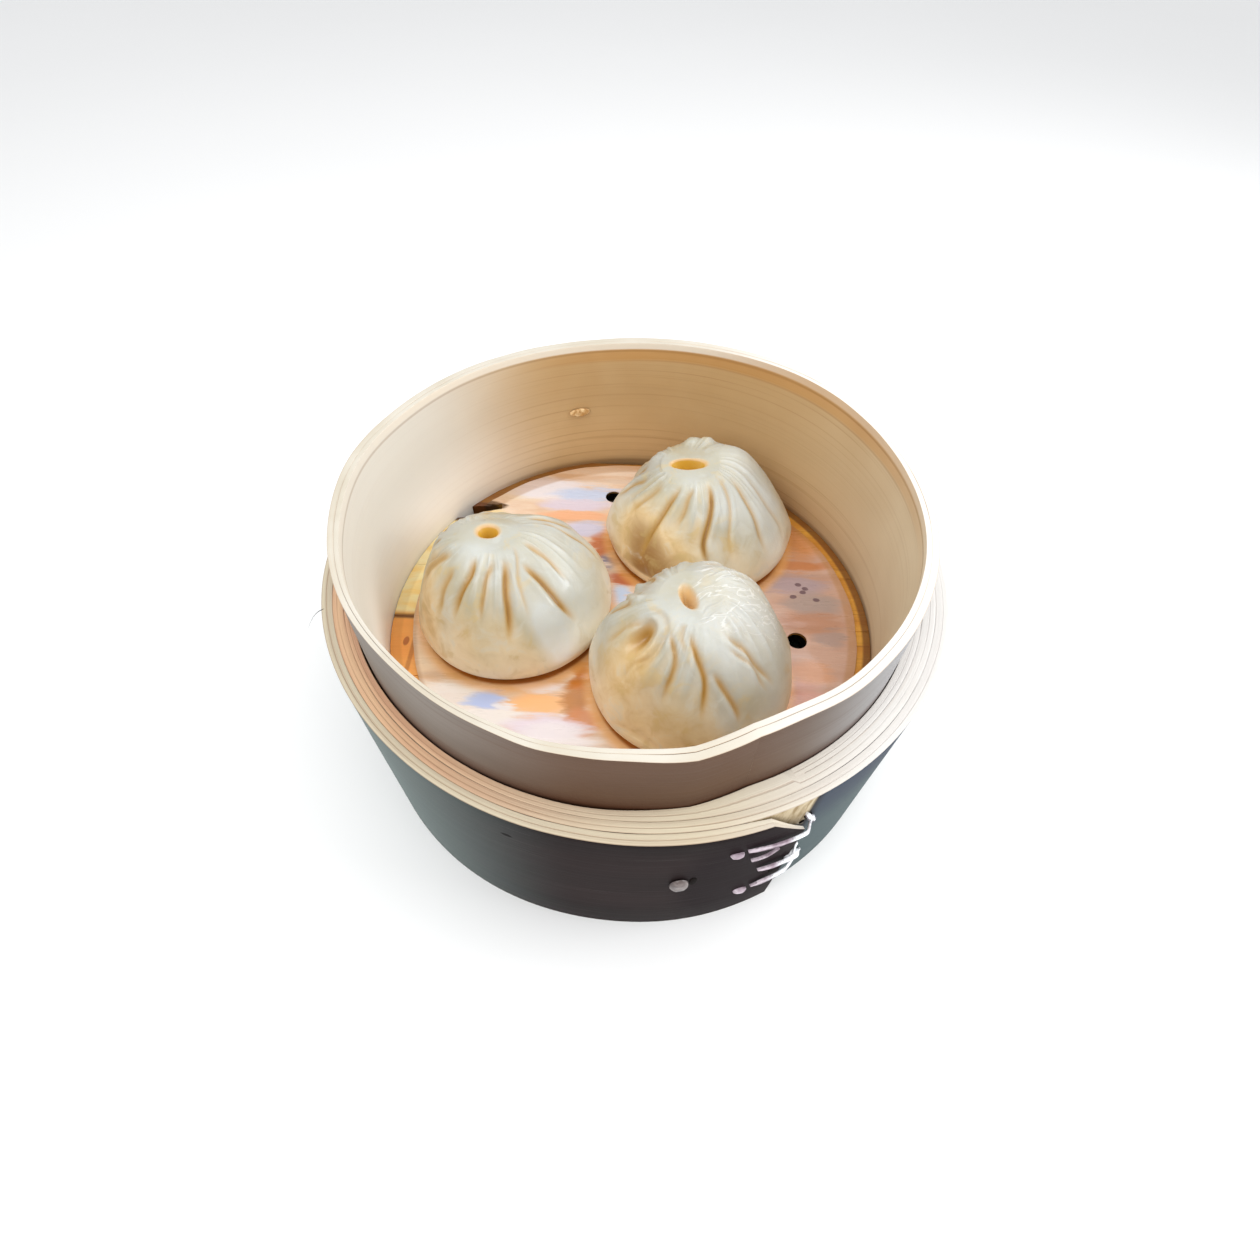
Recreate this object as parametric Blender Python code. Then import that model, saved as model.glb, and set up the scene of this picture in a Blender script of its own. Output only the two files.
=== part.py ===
"""A small bamboo steamer tier holding three xiaolongbao soup dumplings.

The tier is two hoops of wound bamboo strip, one inside the other. The tall inner hoop
stands proud of the thick outer hoop, so that the next tier can fit over its rim, and the
outer hoop reaches lower than the floor, so that this tier fits over the one below. Two
crossbars carry a floor of bamboo slats. A round punched liner lies on the slats and the
three pleated dumplings sit on the liner.

Metres, +Z up. The tier stands on the plane Z = 0 and its box is centred on the Z axis.
Angles are in degrees, counted from +X towards +Y, and the front of the tier faces -Y.
"""

import math
import random

import bmesh
import bpy
from mathutils import Matrix, Vector

# Heights above the table
OUTER_HOOP_TOP = 0.0556
RIM_TOP = 0.0743
INNER_HOOP_BOTTOM = 0.0205
SLAT_THICKNESS = 0.0031
FLOOR_TOP = 0.0303
LINER_THICKNESS = 0.0004
CROSSBAR_HEIGHT = 0.0060

# Outer hoop: one thick strip wound three times round
OUTER_BORE = 0.0680
OUTER_CENTRE = (0.0005, 0.0005)
OUTER_STRIP = 0.0019
OUTER_TURNS = 3
OUTER_END_ANGLE = 298.0
OUTER_SCARF = 26.0
OUTER_TIP = 0.4
OUTER_SPLAY = 0.0004
OUTER_SLACK = 0.0013
OUTER_SLACK_ANGLE = 357.0
OUTER_SLACK_SPREAD = 38.0
END_SLOPE_ANGLE = 7.0
END_SLOPE_DROP = 0.011
END_LIFT = 0.0006

# Inner hoop: one thin strip wound twice round
INNER_BORE = 0.0647
INNER_STRIP = 0.00125
INNER_TURNS = 2
INNER_END_ANGLE = 290.0
INNER_SCARF = 50.0
INNER_TIP = 0.15
SWAY_START = 0.0530

# Where the free rim stands out of round: (angle, spread, amount). It is pressed in at the back,
# springs out on both sides of that, and is kinked at the front between two flatter stretches.
RIM_SWELLS = (
    (103.0, 28.0, -0.0019),
    (45.0, 18.0, 0.0010),
    (172.0, 14.0, 0.0010),
    (250.0, 9.0, 0.0006),
    (267.0, 8.0, -0.0006),
    (283.0, 7.0, 0.0009),
    (298.0, 11.0, -0.0015),
)

# Space between the turns of a strip, and between pieces that touch
TURN_GAP = 0.0003
CONTACT_GAP = 0.0003
STEPS_PER_TURN = 54
WOOD_SHARP_ANGLE = 40.0

# Floor
SLAT_PITCH = 0.0196
SLAT_GAP = 0.0014
SLAT_COUNT = 7
SLAT_SEAM_Y = -0.0044
FLOOR_RADIUS = 0.0643
FLOOR_SEGMENTS = 64
CROSSBAR_X = 0.0270
CROSSBAR_WIDTH = 0.0100

# Wedge missing from one slat beside the back wall
SPLIT_CENTRE = (-0.0520, 0.0385)
SPLIT_SIZE = (0.0190, 0.0034)
SPLIT_TURN = 12.0

# Liner and its two steam holes, as (x, y)
LINER_RADIUS = 0.0604
STEAM_HOLE_RADIUS = 0.0027
STEAM_HOLE_SEGMENTS = 20
STEAM_HOLES = ((0.0449, -0.0089), (-0.0074, 0.0468))

# Peg through both hoops at the front
PEG_ANGLE = 279.0
PEG_HEIGHT = 0.0315
PEG_RADIUS = 0.0014
PEG_HEAD_RADIUS = 0.0021
PEG_HEAD_THICKNESS = 0.0010
PEG_CROWN_RATIO = 0.8
PEG_CROWN_HEIGHT = 0.00025
PEG_SEGMENTS = 16
DRILL_REACH = 0.012

# Lacing that ties down the outer strip's end: (start angle, start height, end angle, end height)
LACE_WIDTH = 0.0019
LACE_THICKNESS = 0.0006
LACE_CUTS = 9
LACE_STITCHES = (
    (286.6, 0.0448, 301.4, 0.0425),
    (292.0, 0.0300, 303.2, 0.0262),
    (294.2, 0.0212, 302.8, 0.0206),
    (290.8, 0.0176, 301.8, 0.0110),
)

# Tie on the inside of the back wall
TIE_ANGLE = 106.8
TIE_HEIGHT = 0.0516
TIE_WIDTH = 0.0062
TIE_DEPTH = 0.0026
TIE_THICKNESS = 0.0009
TIE_CUTS = 5
TIE_END = 0.45

# Dumplings: outline shared by all three, as fractions of the radius and the height
FOOT_RATIO = 0.84
HEEL = (0.95, 0.05)
BULGE_HEIGHT = 0.17
CROWN_RATIO = 0.27
DOME_POWER = 1.55
DOME_STEPS = 8
DUMPLING_SEGMENTS = 64
DOUGH_SHARP_ANGLE = 60.0
FIRST_SEED = 11

# Hole at the crown: lip radius as a multiple of the hole's, and depths below the crown
LIP_RATIO = 1.35
HOLE_EDGE_DEPTH = 0.0008
HOLE_FLOOR_RATIO = 0.72
HOLE_FLOOR_DEPTH = 0.0048
HOLE_MIDDLE_DEPTH = 0.0055

# Pleats: creases fade in above the foot and out at the crown, as fractions of the height
PLEATS = 16
CREASE_RISE = 0.45
CREASE_TOP = 1.06
CREASE_FADE = 0.30
CREASE_WIDTH = 1.6
CREASE_SINK = 0.45
SHALLOWEST_CREASE = 0.55

# (name, x, y, radius, height, crown dx, crown dy, hole radius x, hole radius y, lip, crease depth)
DUMPLINGS = (
    ("dumpling_left", -0.0324, -0.0009, 0.0263, 0.0283, -0.0042, 0.0004, 0.0031, 0.0031, 0.0, 0.0017),
    ("dumpling_back", 0.0187, 0.0303, 0.0270, 0.0275, -0.0049, -0.0002, 0.0048, 0.0028, 0.0012, 0.0016),
    ("dumpling_front", 0.0150, -0.0232, 0.0256, 0.0339, -0.0025, -0.0004, 0.0026, 0.0040, 0.0, 0.0014),
)

# Pocket pinched into the left side of the front dumpling
POCKET_OWNER = "dumpling_front"
POCKET_ANGLE = 215.0
POCKET_SPREAD = 20.0
POCKET_HEIGHT = 0.62
POCKET_RISE = 0.15
POCKET_DEPTH = 0.0030

MICRON = 0.000001


def clear_scene():
    """Remove the objects that the default scene starts with."""
    for item in list(bpy.data.objects):
        bpy.data.objects.remove(item, do_unlink=True)


def make_material(name, colour, roughness, metallic=0.0):
    """Return a plain material with one Principled shader."""
    material = bpy.data.materials.new(name)
    material.use_nodes = True
    shader = material.node_tree.nodes["Principled BSDF"]
    shader.inputs["Base Color"].default_value = (*colour, 1.0)
    shader.inputs["Roughness"].default_value = roughness
    shader.inputs["Metallic"].default_value = metallic
    return material


def face_outwards(bm):
    """Make the faces of a closed bmesh agree, and point out of its volume."""
    bmesh.ops.recalc_face_normals(bm, faces=bm.faces)
    if bm.calc_volume(signed=True) < 0.0:
        bmesh.ops.reverse_faces(bm, faces=bm.faces)


def place_object(bm, name, material, sharp_angle=WOOD_SHARP_ANGLE):
    """Turn a finished bmesh into a named, shaded object of the scene."""
    face_outwards(bm)
    mesh = bpy.data.meshes.new(name)
    bm.to_mesh(mesh)
    bm.free()
    mesh.materials.append(material)
    mesh.shade_smooth()
    mesh.set_sharp_from_angle(angle=math.radians(sharp_angle))
    item = bpy.data.objects.new(name, mesh)
    bpy.context.scene.collection.objects.link(item)
    return item


def at_angle(radius, angle, height):
    """Return the point at this distance from the Z axis, in this direction."""
    turn = math.radians(angle)
    return Vector((radius * math.cos(turn), radius * math.sin(turn), height))


def blend(value):
    """Rise smoothly from 0 to 1 as value goes from 0 to 1."""
    value = min(1.0, max(0.0, value))
    return value * value * (3.0 - 2.0 * value)


def bump(angle, centre, spread):
    """Return a smooth hump round the hoop, 1 at its centre."""
    offset = (angle - centre + 180.0) % 360.0 - 180.0
    return math.exp(-((offset / spread) ** 2))


def box_blank(low, high, cuts):
    """Return a box between two corners, cut into equal lengths along X."""
    bm = bmesh.new()
    bmesh.ops.create_cube(bm, size=1.0)
    size = Vector(high) - Vector(low)
    middle = (Vector(high) + Vector(low)) / 2.0
    bmesh.ops.scale(bm, vec=size, verts=bm.verts)
    bmesh.ops.translate(bm, vec=middle, verts=bm.verts)
    long_edges = [edge for edge in bm.edges if abs(edge.verts[0].co.x - edge.verts[1].co.x) > MICRON]
    bmesh.ops.subdivide_edges(bm, edges=long_edges, cuts=cuts, use_grid_fill=True)
    return bm


def cut_blank(bm, point, normal, discard):
    """Cut a blank with a plane, and close it again where the far side is thrown away."""
    parts = bm.verts[:] + bm.edges[:] + bm.faces[:]
    cut = bmesh.ops.bisect_plane(bm, geom=parts, plane_co=point, plane_no=normal, clear_outer=discard)
    if discard:
        rim = [part for part in cut["geom_cut"] if isinstance(part, bmesh.types.BMEdge)]
        bmesh.ops.contextual_create(bm, geom=rim)


def strip_faces(degrees_left, at_start, scarf, tip):
    """Return where a strip's two faces lie across its thickness, thinned towards an end."""
    kept = tip + (1.0 - tip) * blend(degrees_left / scarf)
    return (1.0 - kept, 1.0) if at_start else (0.0, kept)


def outer_radius(turns, across, height):
    """Return the outer strip's radius this many turns along it, from its inner to outer face."""
    to_start = turns * 360.0
    to_end = OUTER_TURNS * 360.0 - to_start
    low, high = strip_faces(min(to_start, to_end), to_start < to_end, OUTER_SCARF, OUTER_TIP)
    lift = END_LIFT * blend(1.0 - to_end / OUTER_SCARF)
    slack = bump(OUTER_END_ANGLE + to_start, OUTER_SLACK_ANGLE, OUTER_SLACK_SPREAD)
    spread = OUTER_SPLAY * height / OUTER_HOOP_TOP + OUTER_SLACK * slack / OUTER_TURNS
    pitch = OUTER_STRIP + TURN_GAP + spread
    return OUTER_BORE + pitch * turns + lift + OUTER_STRIP * (low + (high - low) * across)


def outer_point(turns, radius, height):
    """Return the point of the outer hoop this many turns along its strip."""
    point = at_angle(radius, OUTER_END_ANGLE + turns * 360.0, height)
    return point + Vector((OUTER_CENTRE[0], OUTER_CENTRE[1], 0.0))


def make_outer_hoop(material):
    """Wind the thick strip three times round, with a slanting cut at its outer end."""
    bm = box_blank((0.0, 0.0, 0.0), (OUTER_TURNS, 1.0, OUTER_HOOP_TOP), OUTER_TURNS * STEPS_PER_TURN - 1)
    slope_turns = END_SLOPE_ANGLE / 360.0
    slope_start = Vector((OUTER_TURNS - slope_turns, 0.0, OUTER_HOOP_TOP))
    slope_normal = Vector((END_SLOPE_DROP, 0.0, slope_turns))
    cut_blank(bm, slope_start, slope_normal, True)
    for vert in bm.verts:
        turns, across, height = vert.co
        vert.co = outer_point(turns, outer_radius(turns, across, height), height)
    return place_object(bm, "outer_hoop", material)


def rim_sway(angle):
    """Return how far the free rim stands out of round in this direction."""
    return sum(amount * bump(angle, centre, spread) for centre, spread, amount in RIM_SWELLS)


def inner_radius(turns, across, height):
    """Return the inner strip's radius this many turns along it, at this height."""
    to_start = turns * 360.0
    to_end = INNER_TURNS * 360.0 - to_start
    low, high = strip_faces(min(to_start, to_end), to_start < to_end, INNER_SCARF, INNER_TIP)
    free = max(0.0, (height - SWAY_START) / (RIM_TOP - SWAY_START))
    sway = free * rim_sway(INNER_END_ANGLE + to_start)
    pitch = INNER_STRIP + TURN_GAP
    return INNER_BORE + pitch * turns + INNER_STRIP * (low + (high - low) * across) + sway


def make_inner_hoop(material):
    """Wind the thin strip twice round; its free rim is a little out of round."""
    low = (0.0, 0.0, INNER_HOOP_BOTTOM)
    bm = box_blank(low, (INNER_TURNS, 1.0, RIM_TOP), INNER_TURNS * STEPS_PER_TURN - 1)
    cut_blank(bm, Vector((0.0, 0.0, SWAY_START)), Vector((0.0, 0.0, 1.0)), False)
    for vert in bm.verts:
        radius = inner_radius(vert.co.x, vert.co.y, vert.co.z)
        vert.co = at_angle(radius, INNER_END_ANGLE + vert.co.x * 360.0, vert.co.z)
    return place_object(bm, "inner_hoop", material)


def make_cutter(name, bm):
    """Turn a bmesh into a hidden cutting shape."""
    face_outwards(bm)
    mesh = bpy.data.meshes.new(name)
    bm.to_mesh(mesh)
    bm.free()
    cutter = bpy.data.objects.new(name, mesh)
    cutter.hide_render = True
    cutter.display_type = "WIRE"
    bpy.context.scene.collection.objects.link(cutter)
    return cutter


def make_disc(radius, low, high, segments, centre=(0.0, 0.0)):
    """Return an upright cylinder between two heights."""
    bm = bmesh.new()
    middle = Vector((centre[0], centre[1], (low + high) / 2.0))
    bmesh.ops.create_cone(
        bm, cap_ends=True, segments=segments, radius1=radius, radius2=radius,
        depth=high - low, matrix=Matrix.Translation(middle),
    )
    return bm


def add_boolean(item, cutter, operation):
    """Cut, or keep only, what the cutter covers."""
    modifier = item.modifiers.new(cutter.name, "BOOLEAN")
    modifier.operation = operation
    modifier.solver = "EXACT"
    modifier.object = cutter


def make_floor(material, steam_cutters):
    """Lay the slats side by side and trim them to the round of the inner hoop."""
    bottom = FLOOR_TOP - SLAT_THICKNESS
    trim = make_cutter("floor_trim", make_disc(FLOOR_RADIUS, 0.0, RIM_TOP, FLOOR_SEGMENTS))
    split = make_split_cutter()
    first_seam = SLAT_SEAM_Y - SLAT_PITCH * (SLAT_COUNT // 2)
    for index in range(SLAT_COUNT):
        low_y = first_seam + index * SLAT_PITCH + SLAT_GAP / 2.0
        high_y = low_y + SLAT_PITCH - SLAT_GAP
        corner = (-FLOOR_RADIUS - CONTACT_GAP, low_y, bottom)
        bm = box_blank(corner, (FLOOR_RADIUS + CONTACT_GAP, high_y, FLOOR_TOP), 1)
        slat = place_object(bm, f"slat_{index + 1}", material)
        add_boolean(slat, trim, "INTERSECT")
        for cutter, (_, hole_y) in zip(steam_cutters, STEAM_HOLES):
            if low_y - STEAM_HOLE_RADIUS < hole_y < high_y + STEAM_HOLE_RADIUS:
                add_boolean(slat, cutter, "DIFFERENCE")
        if low_y < SPLIT_CENTRE[1] < high_y:
            add_boolean(slat, split, "DIFFERENCE")


def make_split_cutter():
    """Return the wedge that is missing from one slat beside the back wall."""
    bm = box_blank((-0.5, -0.5, 0.0), (0.5, 0.5, RIM_TOP), 1)
    bmesh.ops.scale(bm, vec=(SPLIT_SIZE[0], SPLIT_SIZE[1], 1.0), verts=bm.verts)
    turn = Matrix.Rotation(math.radians(SPLIT_TURN), 4, "Z")
    bmesh.ops.transform(bm, matrix=turn, verts=bm.verts)
    bmesh.ops.translate(bm, vec=(SPLIT_CENTRE[0], SPLIT_CENTRE[1], 0.0), verts=bm.verts)
    return make_cutter("slat_split", bm)


def make_steam_drill(place):
    """Return the drill for one steam hole."""
    return make_disc(STEAM_HOLE_RADIUS, 0.0, RIM_TOP, STEAM_HOLE_SEGMENTS, place)


def make_crossbars(material):
    """Set the two bars that carry the slats across the inner hoop."""
    top = FLOOR_TOP - SLAT_THICKNESS - CONTACT_GAP
    half = CROSSBAR_WIDTH / 2.0
    reach = math.sqrt(FLOOR_RADIUS ** 2 - (CROSSBAR_X + half) ** 2)
    for name, x in (("crossbar_left", -CROSSBAR_X), ("crossbar_right", CROSSBAR_X)):
        bm = box_blank((x - half, -reach, top - CROSSBAR_HEIGHT), (x + half, reach, top), 1)
        place_object(bm, name, material)


def make_liner(material, steam_cutters):
    """Lay the thin round liner on the slats and punch its steam holes."""
    low = FLOOR_TOP + CONTACT_GAP
    bm = make_disc(LINER_RADIUS, low, low + LINER_THICKNESS, FLOOR_SEGMENTS)
    liner = place_object(bm, "liner", material)
    for cutter in steam_cutters:
        add_boolean(liner, cutter, "DIFFERENCE")


def dumpling_outline(radius, height, hole, lip):
    """Return the turned outline, from the middle of the foot up and down into the hole."""
    points = [(0.0, 0.0), (radius * FOOT_RATIO, 0.0), (radius * HEEL[0], height * HEEL[1])]
    for step in range(DOME_STEPS + 1):
        turn = math.radians(90.0 * step / DOME_STEPS)
        reach = CROWN_RATIO + (1.0 - CROWN_RATIO) * math.cos(turn) ** (2.0 / DOME_POWER)
        rise = BULGE_HEIGHT + (1.0 - BULGE_HEIGHT) * math.sin(turn) ** (2.0 / DOME_POWER)
        points.append((radius * reach, height * rise))
    points.append((hole * LIP_RATIO, height + lip))
    points.append((hole, height - HOLE_EDGE_DEPTH))
    points.append((hole * HOLE_FLOOR_RATIO, height - HOLE_FLOOR_DEPTH))
    points.append((0.0, height - HOLE_MIDDLE_DEPTH))
    return points


def turn_outline(outline, axis, steps):
    """Return a closed solid turned from an outline whose two ends lie on the axis."""
    bm = bmesh.new()
    verts = [bm.verts.new(point) for point in outline]
    edges = [bm.edges.new(pair) for pair in zip(verts, verts[1:])]
    bmesh.ops.spin(
        bm, geom=verts + edges, cent=(0.0, 0.0, 0.0), axis=axis,
        angle=math.radians(360.0), steps=steps, use_merge=True,
    )
    bmesh.ops.remove_doubles(bm, verts=bm.verts, dist=MICRON)
    return bm


def crease_share(angle, climb, depths):
    """Return the share of full depth that the nearest crease has here."""
    place = (angle % 360.0) * PLEATS / 360.0
    nearest = round(place)
    window = blend(climb / CREASE_RISE) * blend((CREASE_TOP - climb) / CREASE_FADE)
    across = max(0.0, math.cos(math.pi * (place - nearest) * CREASE_WIDTH)) ** 2
    return depths[nearest % PLEATS] * window * across


def pocket_depth(angle, climb):
    """Return how deep the pinched pocket is here."""
    return POCKET_DEPTH * bump(angle, POCKET_ANGLE, POCKET_SPREAD) * math.exp(
        -((climb - POCKET_HEIGHT) / POCKET_RISE) ** 2
    )


def make_dumpling(spec, seed, material):
    """Turn the dumpling's outline, then press its pleats in and lean its crown."""
    name, x, y, radius, height, lean_x, lean_y, hole_x, hole_y, lip, depth = spec
    outline = [(reach, 0.0, rise) for reach, rise in dumpling_outline(radius, height, hole_x, lip)]
    lip_radius = hole_x * LIP_RATIO + CONTACT_GAP
    bm = turn_outline(outline, (0.0, 0.0, 1.0), DUMPLING_SEGMENTS)
    picker = random.Random(seed)
    depths = [picker.uniform(SHALLOWEST_CREASE, 1.0) for _ in range(PLEATS)]
    rest = FLOOR_TOP + CONTACT_GAP + LINER_THICKNESS + CONTACT_GAP
    for vert in bm.verts:
        reach = max(MICRON, math.hypot(vert.co.x, vert.co.y))
        angle = math.degrees(math.atan2(vert.co.y, vert.co.x))
        climb = vert.co.z / height
        crease = depth * crease_share(angle, climb, depths) * blend(reach / (CROWN_RATIO * radius))
        if name == POCKET_OWNER:
            crease += pocket_depth(angle, climb)
        shrink = 1.0 - crease / reach
        narrow = hole_y / hole_x if reach < lip_radius else 1.0
        centred = 1.0 - (reach / radius) ** 2
        vert.co.x = x + vert.co.x * shrink + lean_x * centred
        vert.co.y = y + vert.co.y * shrink * narrow + lean_y * centred
        vert.co.z = rest + vert.co.z - CREASE_SINK * crease * climb
    return place_object(bm, name, material, DOUGH_SHARP_ANGLE)


def peg_place():
    """Return the matrix that sets a piece made along +X where the peg goes."""
    turn = Matrix.Rotation(math.radians(PEG_ANGLE), 4, "Z")
    return Matrix.Translation((0.0, 0.0, PEG_HEIGHT)) @ turn


def make_peg(material):
    """Drive a round-headed peg through both hoops."""
    turns = OUTER_TURNS - (OUTER_END_ANGLE - PEG_ANGLE) / 360.0
    face = outer_point(turns, outer_radius(turns, 1.0, PEG_HEIGHT), 0.0).length
    inside = INNER_BORE + INNER_STRIP
    outline = (
        (inside, 0.0, 0.0), (inside, PEG_RADIUS, 0.0), (face + CONTACT_GAP, PEG_RADIUS, 0.0),
        (face + CONTACT_GAP, PEG_HEAD_RADIUS, 0.0),
        (face + PEG_HEAD_THICKNESS, PEG_HEAD_RADIUS * PEG_CROWN_RATIO, 0.0),
        (face + PEG_HEAD_THICKNESS + PEG_CROWN_HEIGHT, 0.0, 0.0),
    )
    bm = turn_outline(outline, (1.0, 0.0, 0.0), PEG_SEGMENTS)
    bmesh.ops.transform(bm, matrix=peg_place(), verts=bm.verts)
    return place_object(bm, "peg", material)


def make_peg_cutter():
    """Return the drill that makes the peg's hole."""
    bm = make_disc(PEG_RADIUS + CONTACT_GAP, FLOOR_RADIUS, OUTER_BORE + DRILL_REACH, PEG_SEGMENTS)
    lie_down = Matrix.Rotation(math.radians(90.0), 4, "Y")
    bmesh.ops.transform(bm, matrix=peg_place() @ lie_down, verts=bm.verts)
    return make_cutter("peg_drill", bm)


def lace_face(angle, end_angle, height):
    """Return the radius under a stitch, which comes down off the strip's end to the turn below."""
    turns = OUTER_TURNS - (OUTER_END_ANGLE - angle) / 360.0
    if angle <= OUTER_END_ANGLE:
        return outer_radius(turns, 1.0, height)
    upper = outer_radius(OUTER_TURNS, 1.0, height)
    lower = outer_radius(turns - 1.0, 1.0, height)
    return upper + (lower - upper) * blend((angle - OUTER_END_ANGLE) / (end_angle - OUTER_END_ANGLE))


def make_lacing(material):
    """Lay the flat stitches that hold the outer strip's end against the turn below it."""
    for index, (start_angle, start_z, end_angle, end_z) in enumerate(LACE_STITCHES):
        bm = box_blank((0.0, 0.0, -LACE_WIDTH / 2.0), (1.0, LACE_THICKNESS, LACE_WIDTH / 2.0), LACE_CUTS)
        for vert in bm.verts:
            angle = start_angle + (end_angle - start_angle) * vert.co.x
            height = start_z + (end_z - start_z) * vert.co.x + vert.co.z
            radius = lace_face(angle, end_angle, height) + CONTACT_GAP + vert.co.y
            vert.co = outer_point((angle - OUTER_END_ANGLE) / 360.0, radius, height)
        place_object(bm, f"lace_{index + 1}", material)


def make_tie(material):
    """Lay the short tie that shows on the inside of the back wall."""
    bm = box_blank((-0.5, 0.0, -TIE_DEPTH / 2.0), (0.5, TIE_THICKNESS, TIE_DEPTH / 2.0), TIE_CUTS)
    turns = ((TIE_ANGLE - INNER_END_ANGLE) % 360.0) / 360.0
    for vert in bm.verts:
        angle = TIE_ANGLE + math.degrees(vert.co.x * TIE_WIDTH / INNER_BORE)
        wall = inner_radius(turns, 0.0, vert.co.z + TIE_HEIGHT) - CONTACT_GAP
        fullness = TIE_END + (1.0 - TIE_END) * math.cos(math.pi * vert.co.x)
        vert.co = at_angle(wall - vert.co.y * fullness, angle, TIE_HEIGHT + vert.co.z * fullness)
    return place_object(bm, "tie", material)


def centre_on_origin():
    """Move every piece sideways so that the whole box is centred on the Z axis."""
    bpy.context.view_layer.update()
    items = [item for item in bpy.context.scene.objects if not item.hide_render]
    corners = [item.matrix_world @ Vector(corner) for item in items for corner in item.bound_box]
    middle_x = (min(corner.x for corner in corners) + max(corner.x for corner in corners)) / 2.0
    middle_y = (min(corner.y for corner in corners) + max(corner.y for corner in corners)) / 2.0
    for item in bpy.context.scene.objects:
        item.location.x -= middle_x
        item.location.y -= middle_y
    print(f"box centre moved by {-middle_x * 1000:.3f} mm, {-middle_y * 1000:.3f} mm")


def build_steamer():
    """Make every piece of the tier and its contents."""
    clear_scene()
    bamboo_dark = make_material("smoked_bamboo", (0.075, 0.070, 0.068), 0.38)
    bamboo_pale = make_material("pale_bamboo", (0.62, 0.46, 0.28), 0.50)
    bamboo_gold = make_material("golden_bamboo", (0.66, 0.34, 0.09), 0.45)
    paper = make_material("wet_liner", (0.66, 0.54, 0.46), 0.25)
    dough = make_material("steamed_dough", (0.72, 0.60, 0.40), 0.35)
    rattan = make_material("silvery_rattan", (0.62, 0.56, 0.55), 0.30)

    drill = make_peg_cutter()
    steam_cutters = [
        make_cutter(f"steam_hole_{index + 1}", make_steam_drill(hole))
        for index, hole in enumerate(STEAM_HOLES)
    ]
    for hoop in (make_outer_hoop(bamboo_dark), make_inner_hoop(bamboo_pale)):
        add_boolean(hoop, drill, "DIFFERENCE")
    make_crossbars(bamboo_gold)
    make_floor(bamboo_gold, steam_cutters)
    make_liner(paper, steam_cutters)
    for index, spec in enumerate(DUMPLINGS):
        make_dumpling(spec, FIRST_SEED + index, dough)
    make_peg(rattan)
    make_lacing(rattan)
    make_tie(bamboo_pale)
    centre_on_origin()


build_steamer()
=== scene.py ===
# %% [markdown]
# # Soup dumplings in a bamboo steamer tier
#
# The tier is two hoops of wound bamboo strip with a slatted floor. A wet paper liner lies on the slats,
# and three pleated dumplings sit on it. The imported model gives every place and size. Here each piece
# gets its fine shape and its finish.

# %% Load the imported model
import math
import random

import bmesh
import bpy
import numpy as np
from mathutils import Matrix, Vector, noise


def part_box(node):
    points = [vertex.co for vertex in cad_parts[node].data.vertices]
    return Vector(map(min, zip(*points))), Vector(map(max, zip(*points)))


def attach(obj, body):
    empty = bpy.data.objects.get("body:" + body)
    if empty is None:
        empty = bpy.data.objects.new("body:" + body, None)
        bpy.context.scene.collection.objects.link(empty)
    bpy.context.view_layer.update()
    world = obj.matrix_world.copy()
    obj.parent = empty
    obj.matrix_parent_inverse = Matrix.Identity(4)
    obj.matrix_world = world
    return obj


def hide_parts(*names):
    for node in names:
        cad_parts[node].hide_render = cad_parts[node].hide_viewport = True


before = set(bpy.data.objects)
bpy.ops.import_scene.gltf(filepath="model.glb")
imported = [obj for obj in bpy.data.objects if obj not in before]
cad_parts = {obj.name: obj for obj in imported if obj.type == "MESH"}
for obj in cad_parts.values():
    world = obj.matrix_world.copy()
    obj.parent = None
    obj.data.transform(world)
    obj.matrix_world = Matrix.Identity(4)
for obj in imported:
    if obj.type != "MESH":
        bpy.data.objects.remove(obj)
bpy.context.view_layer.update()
print("nodes:", ", ".join(sorted(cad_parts)))

# %% [markdown]
# The liner is a true disc in the middle of the tier, so its box gives the axis that both hoops are
# wound round. Every other height is read from the node it belongs to.

# %% Where things are
liner_low, liner_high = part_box("liner")
AXIS = Vector(((liner_low.x + liner_high.x) / 2, (liner_low.y + liner_high.y) / 2, 0.0))
LINER_RADIUS = (liner_high.x - liner_low.x) / 2
LINER_TOP = liner_high.z
OUTER_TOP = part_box("outer_hoop")[1].z
INNER_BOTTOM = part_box("inner_hoop")[0].z
RIM_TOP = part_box("inner_hoop")[1].z
SLAT_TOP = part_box("slat_4")[1].z
MM = 0.001
MICRON = 0.000001
print(f"axis {AXIS.x / MM:.2f}, {AXIS.y / MM:.2f} mm, rim at {RIM_TOP / MM:.1f} mm")

# %% [markdown]
# ## Camera and light
#
# The camera looks down into the tier from close in front, with a wide lens, so the rim spreads and the
# outside walls draw together below. Its aim is set by a target on the floor of the tier and a slight
# roll, which is easier to read and to change than a rotation in three numbers.

# %% Camera
def put_in_scene(name, data):
    """Make an object of this data and add it to the scene."""
    item = bpy.data.objects.new(name, data)
    bpy.context.scene.collection.objects.link(item)
    return item


CAMERA_PLACE = Vector((-0.00032, -0.12090, 0.17874))
CAMERA_TARGET = Vector((-0.00100, -0.00630, 0.0300))
CAMERA_ROLL = 1.722
CAMERA_LENS = 19.43


def set_camera():
    """Put the camera in front of the tier and aim it at the floor."""
    camera = put_in_scene("camera", bpy.data.cameras.new("camera"))
    aim = (CAMERA_TARGET - CAMERA_PLACE).to_track_quat("-Z", "Y").to_matrix().to_4x4()
    roll = Matrix.Rotation(math.radians(CAMERA_ROLL), 4, "Z")
    camera.matrix_world = Matrix.Translation(CAMERA_PLACE) @ aim @ roll
    camera.data.lens = CAMERA_LENS
    camera.data.clip_start = 0.005
    bpy.context.scene.camera = camera


set_camera()
print("camera set")

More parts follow.
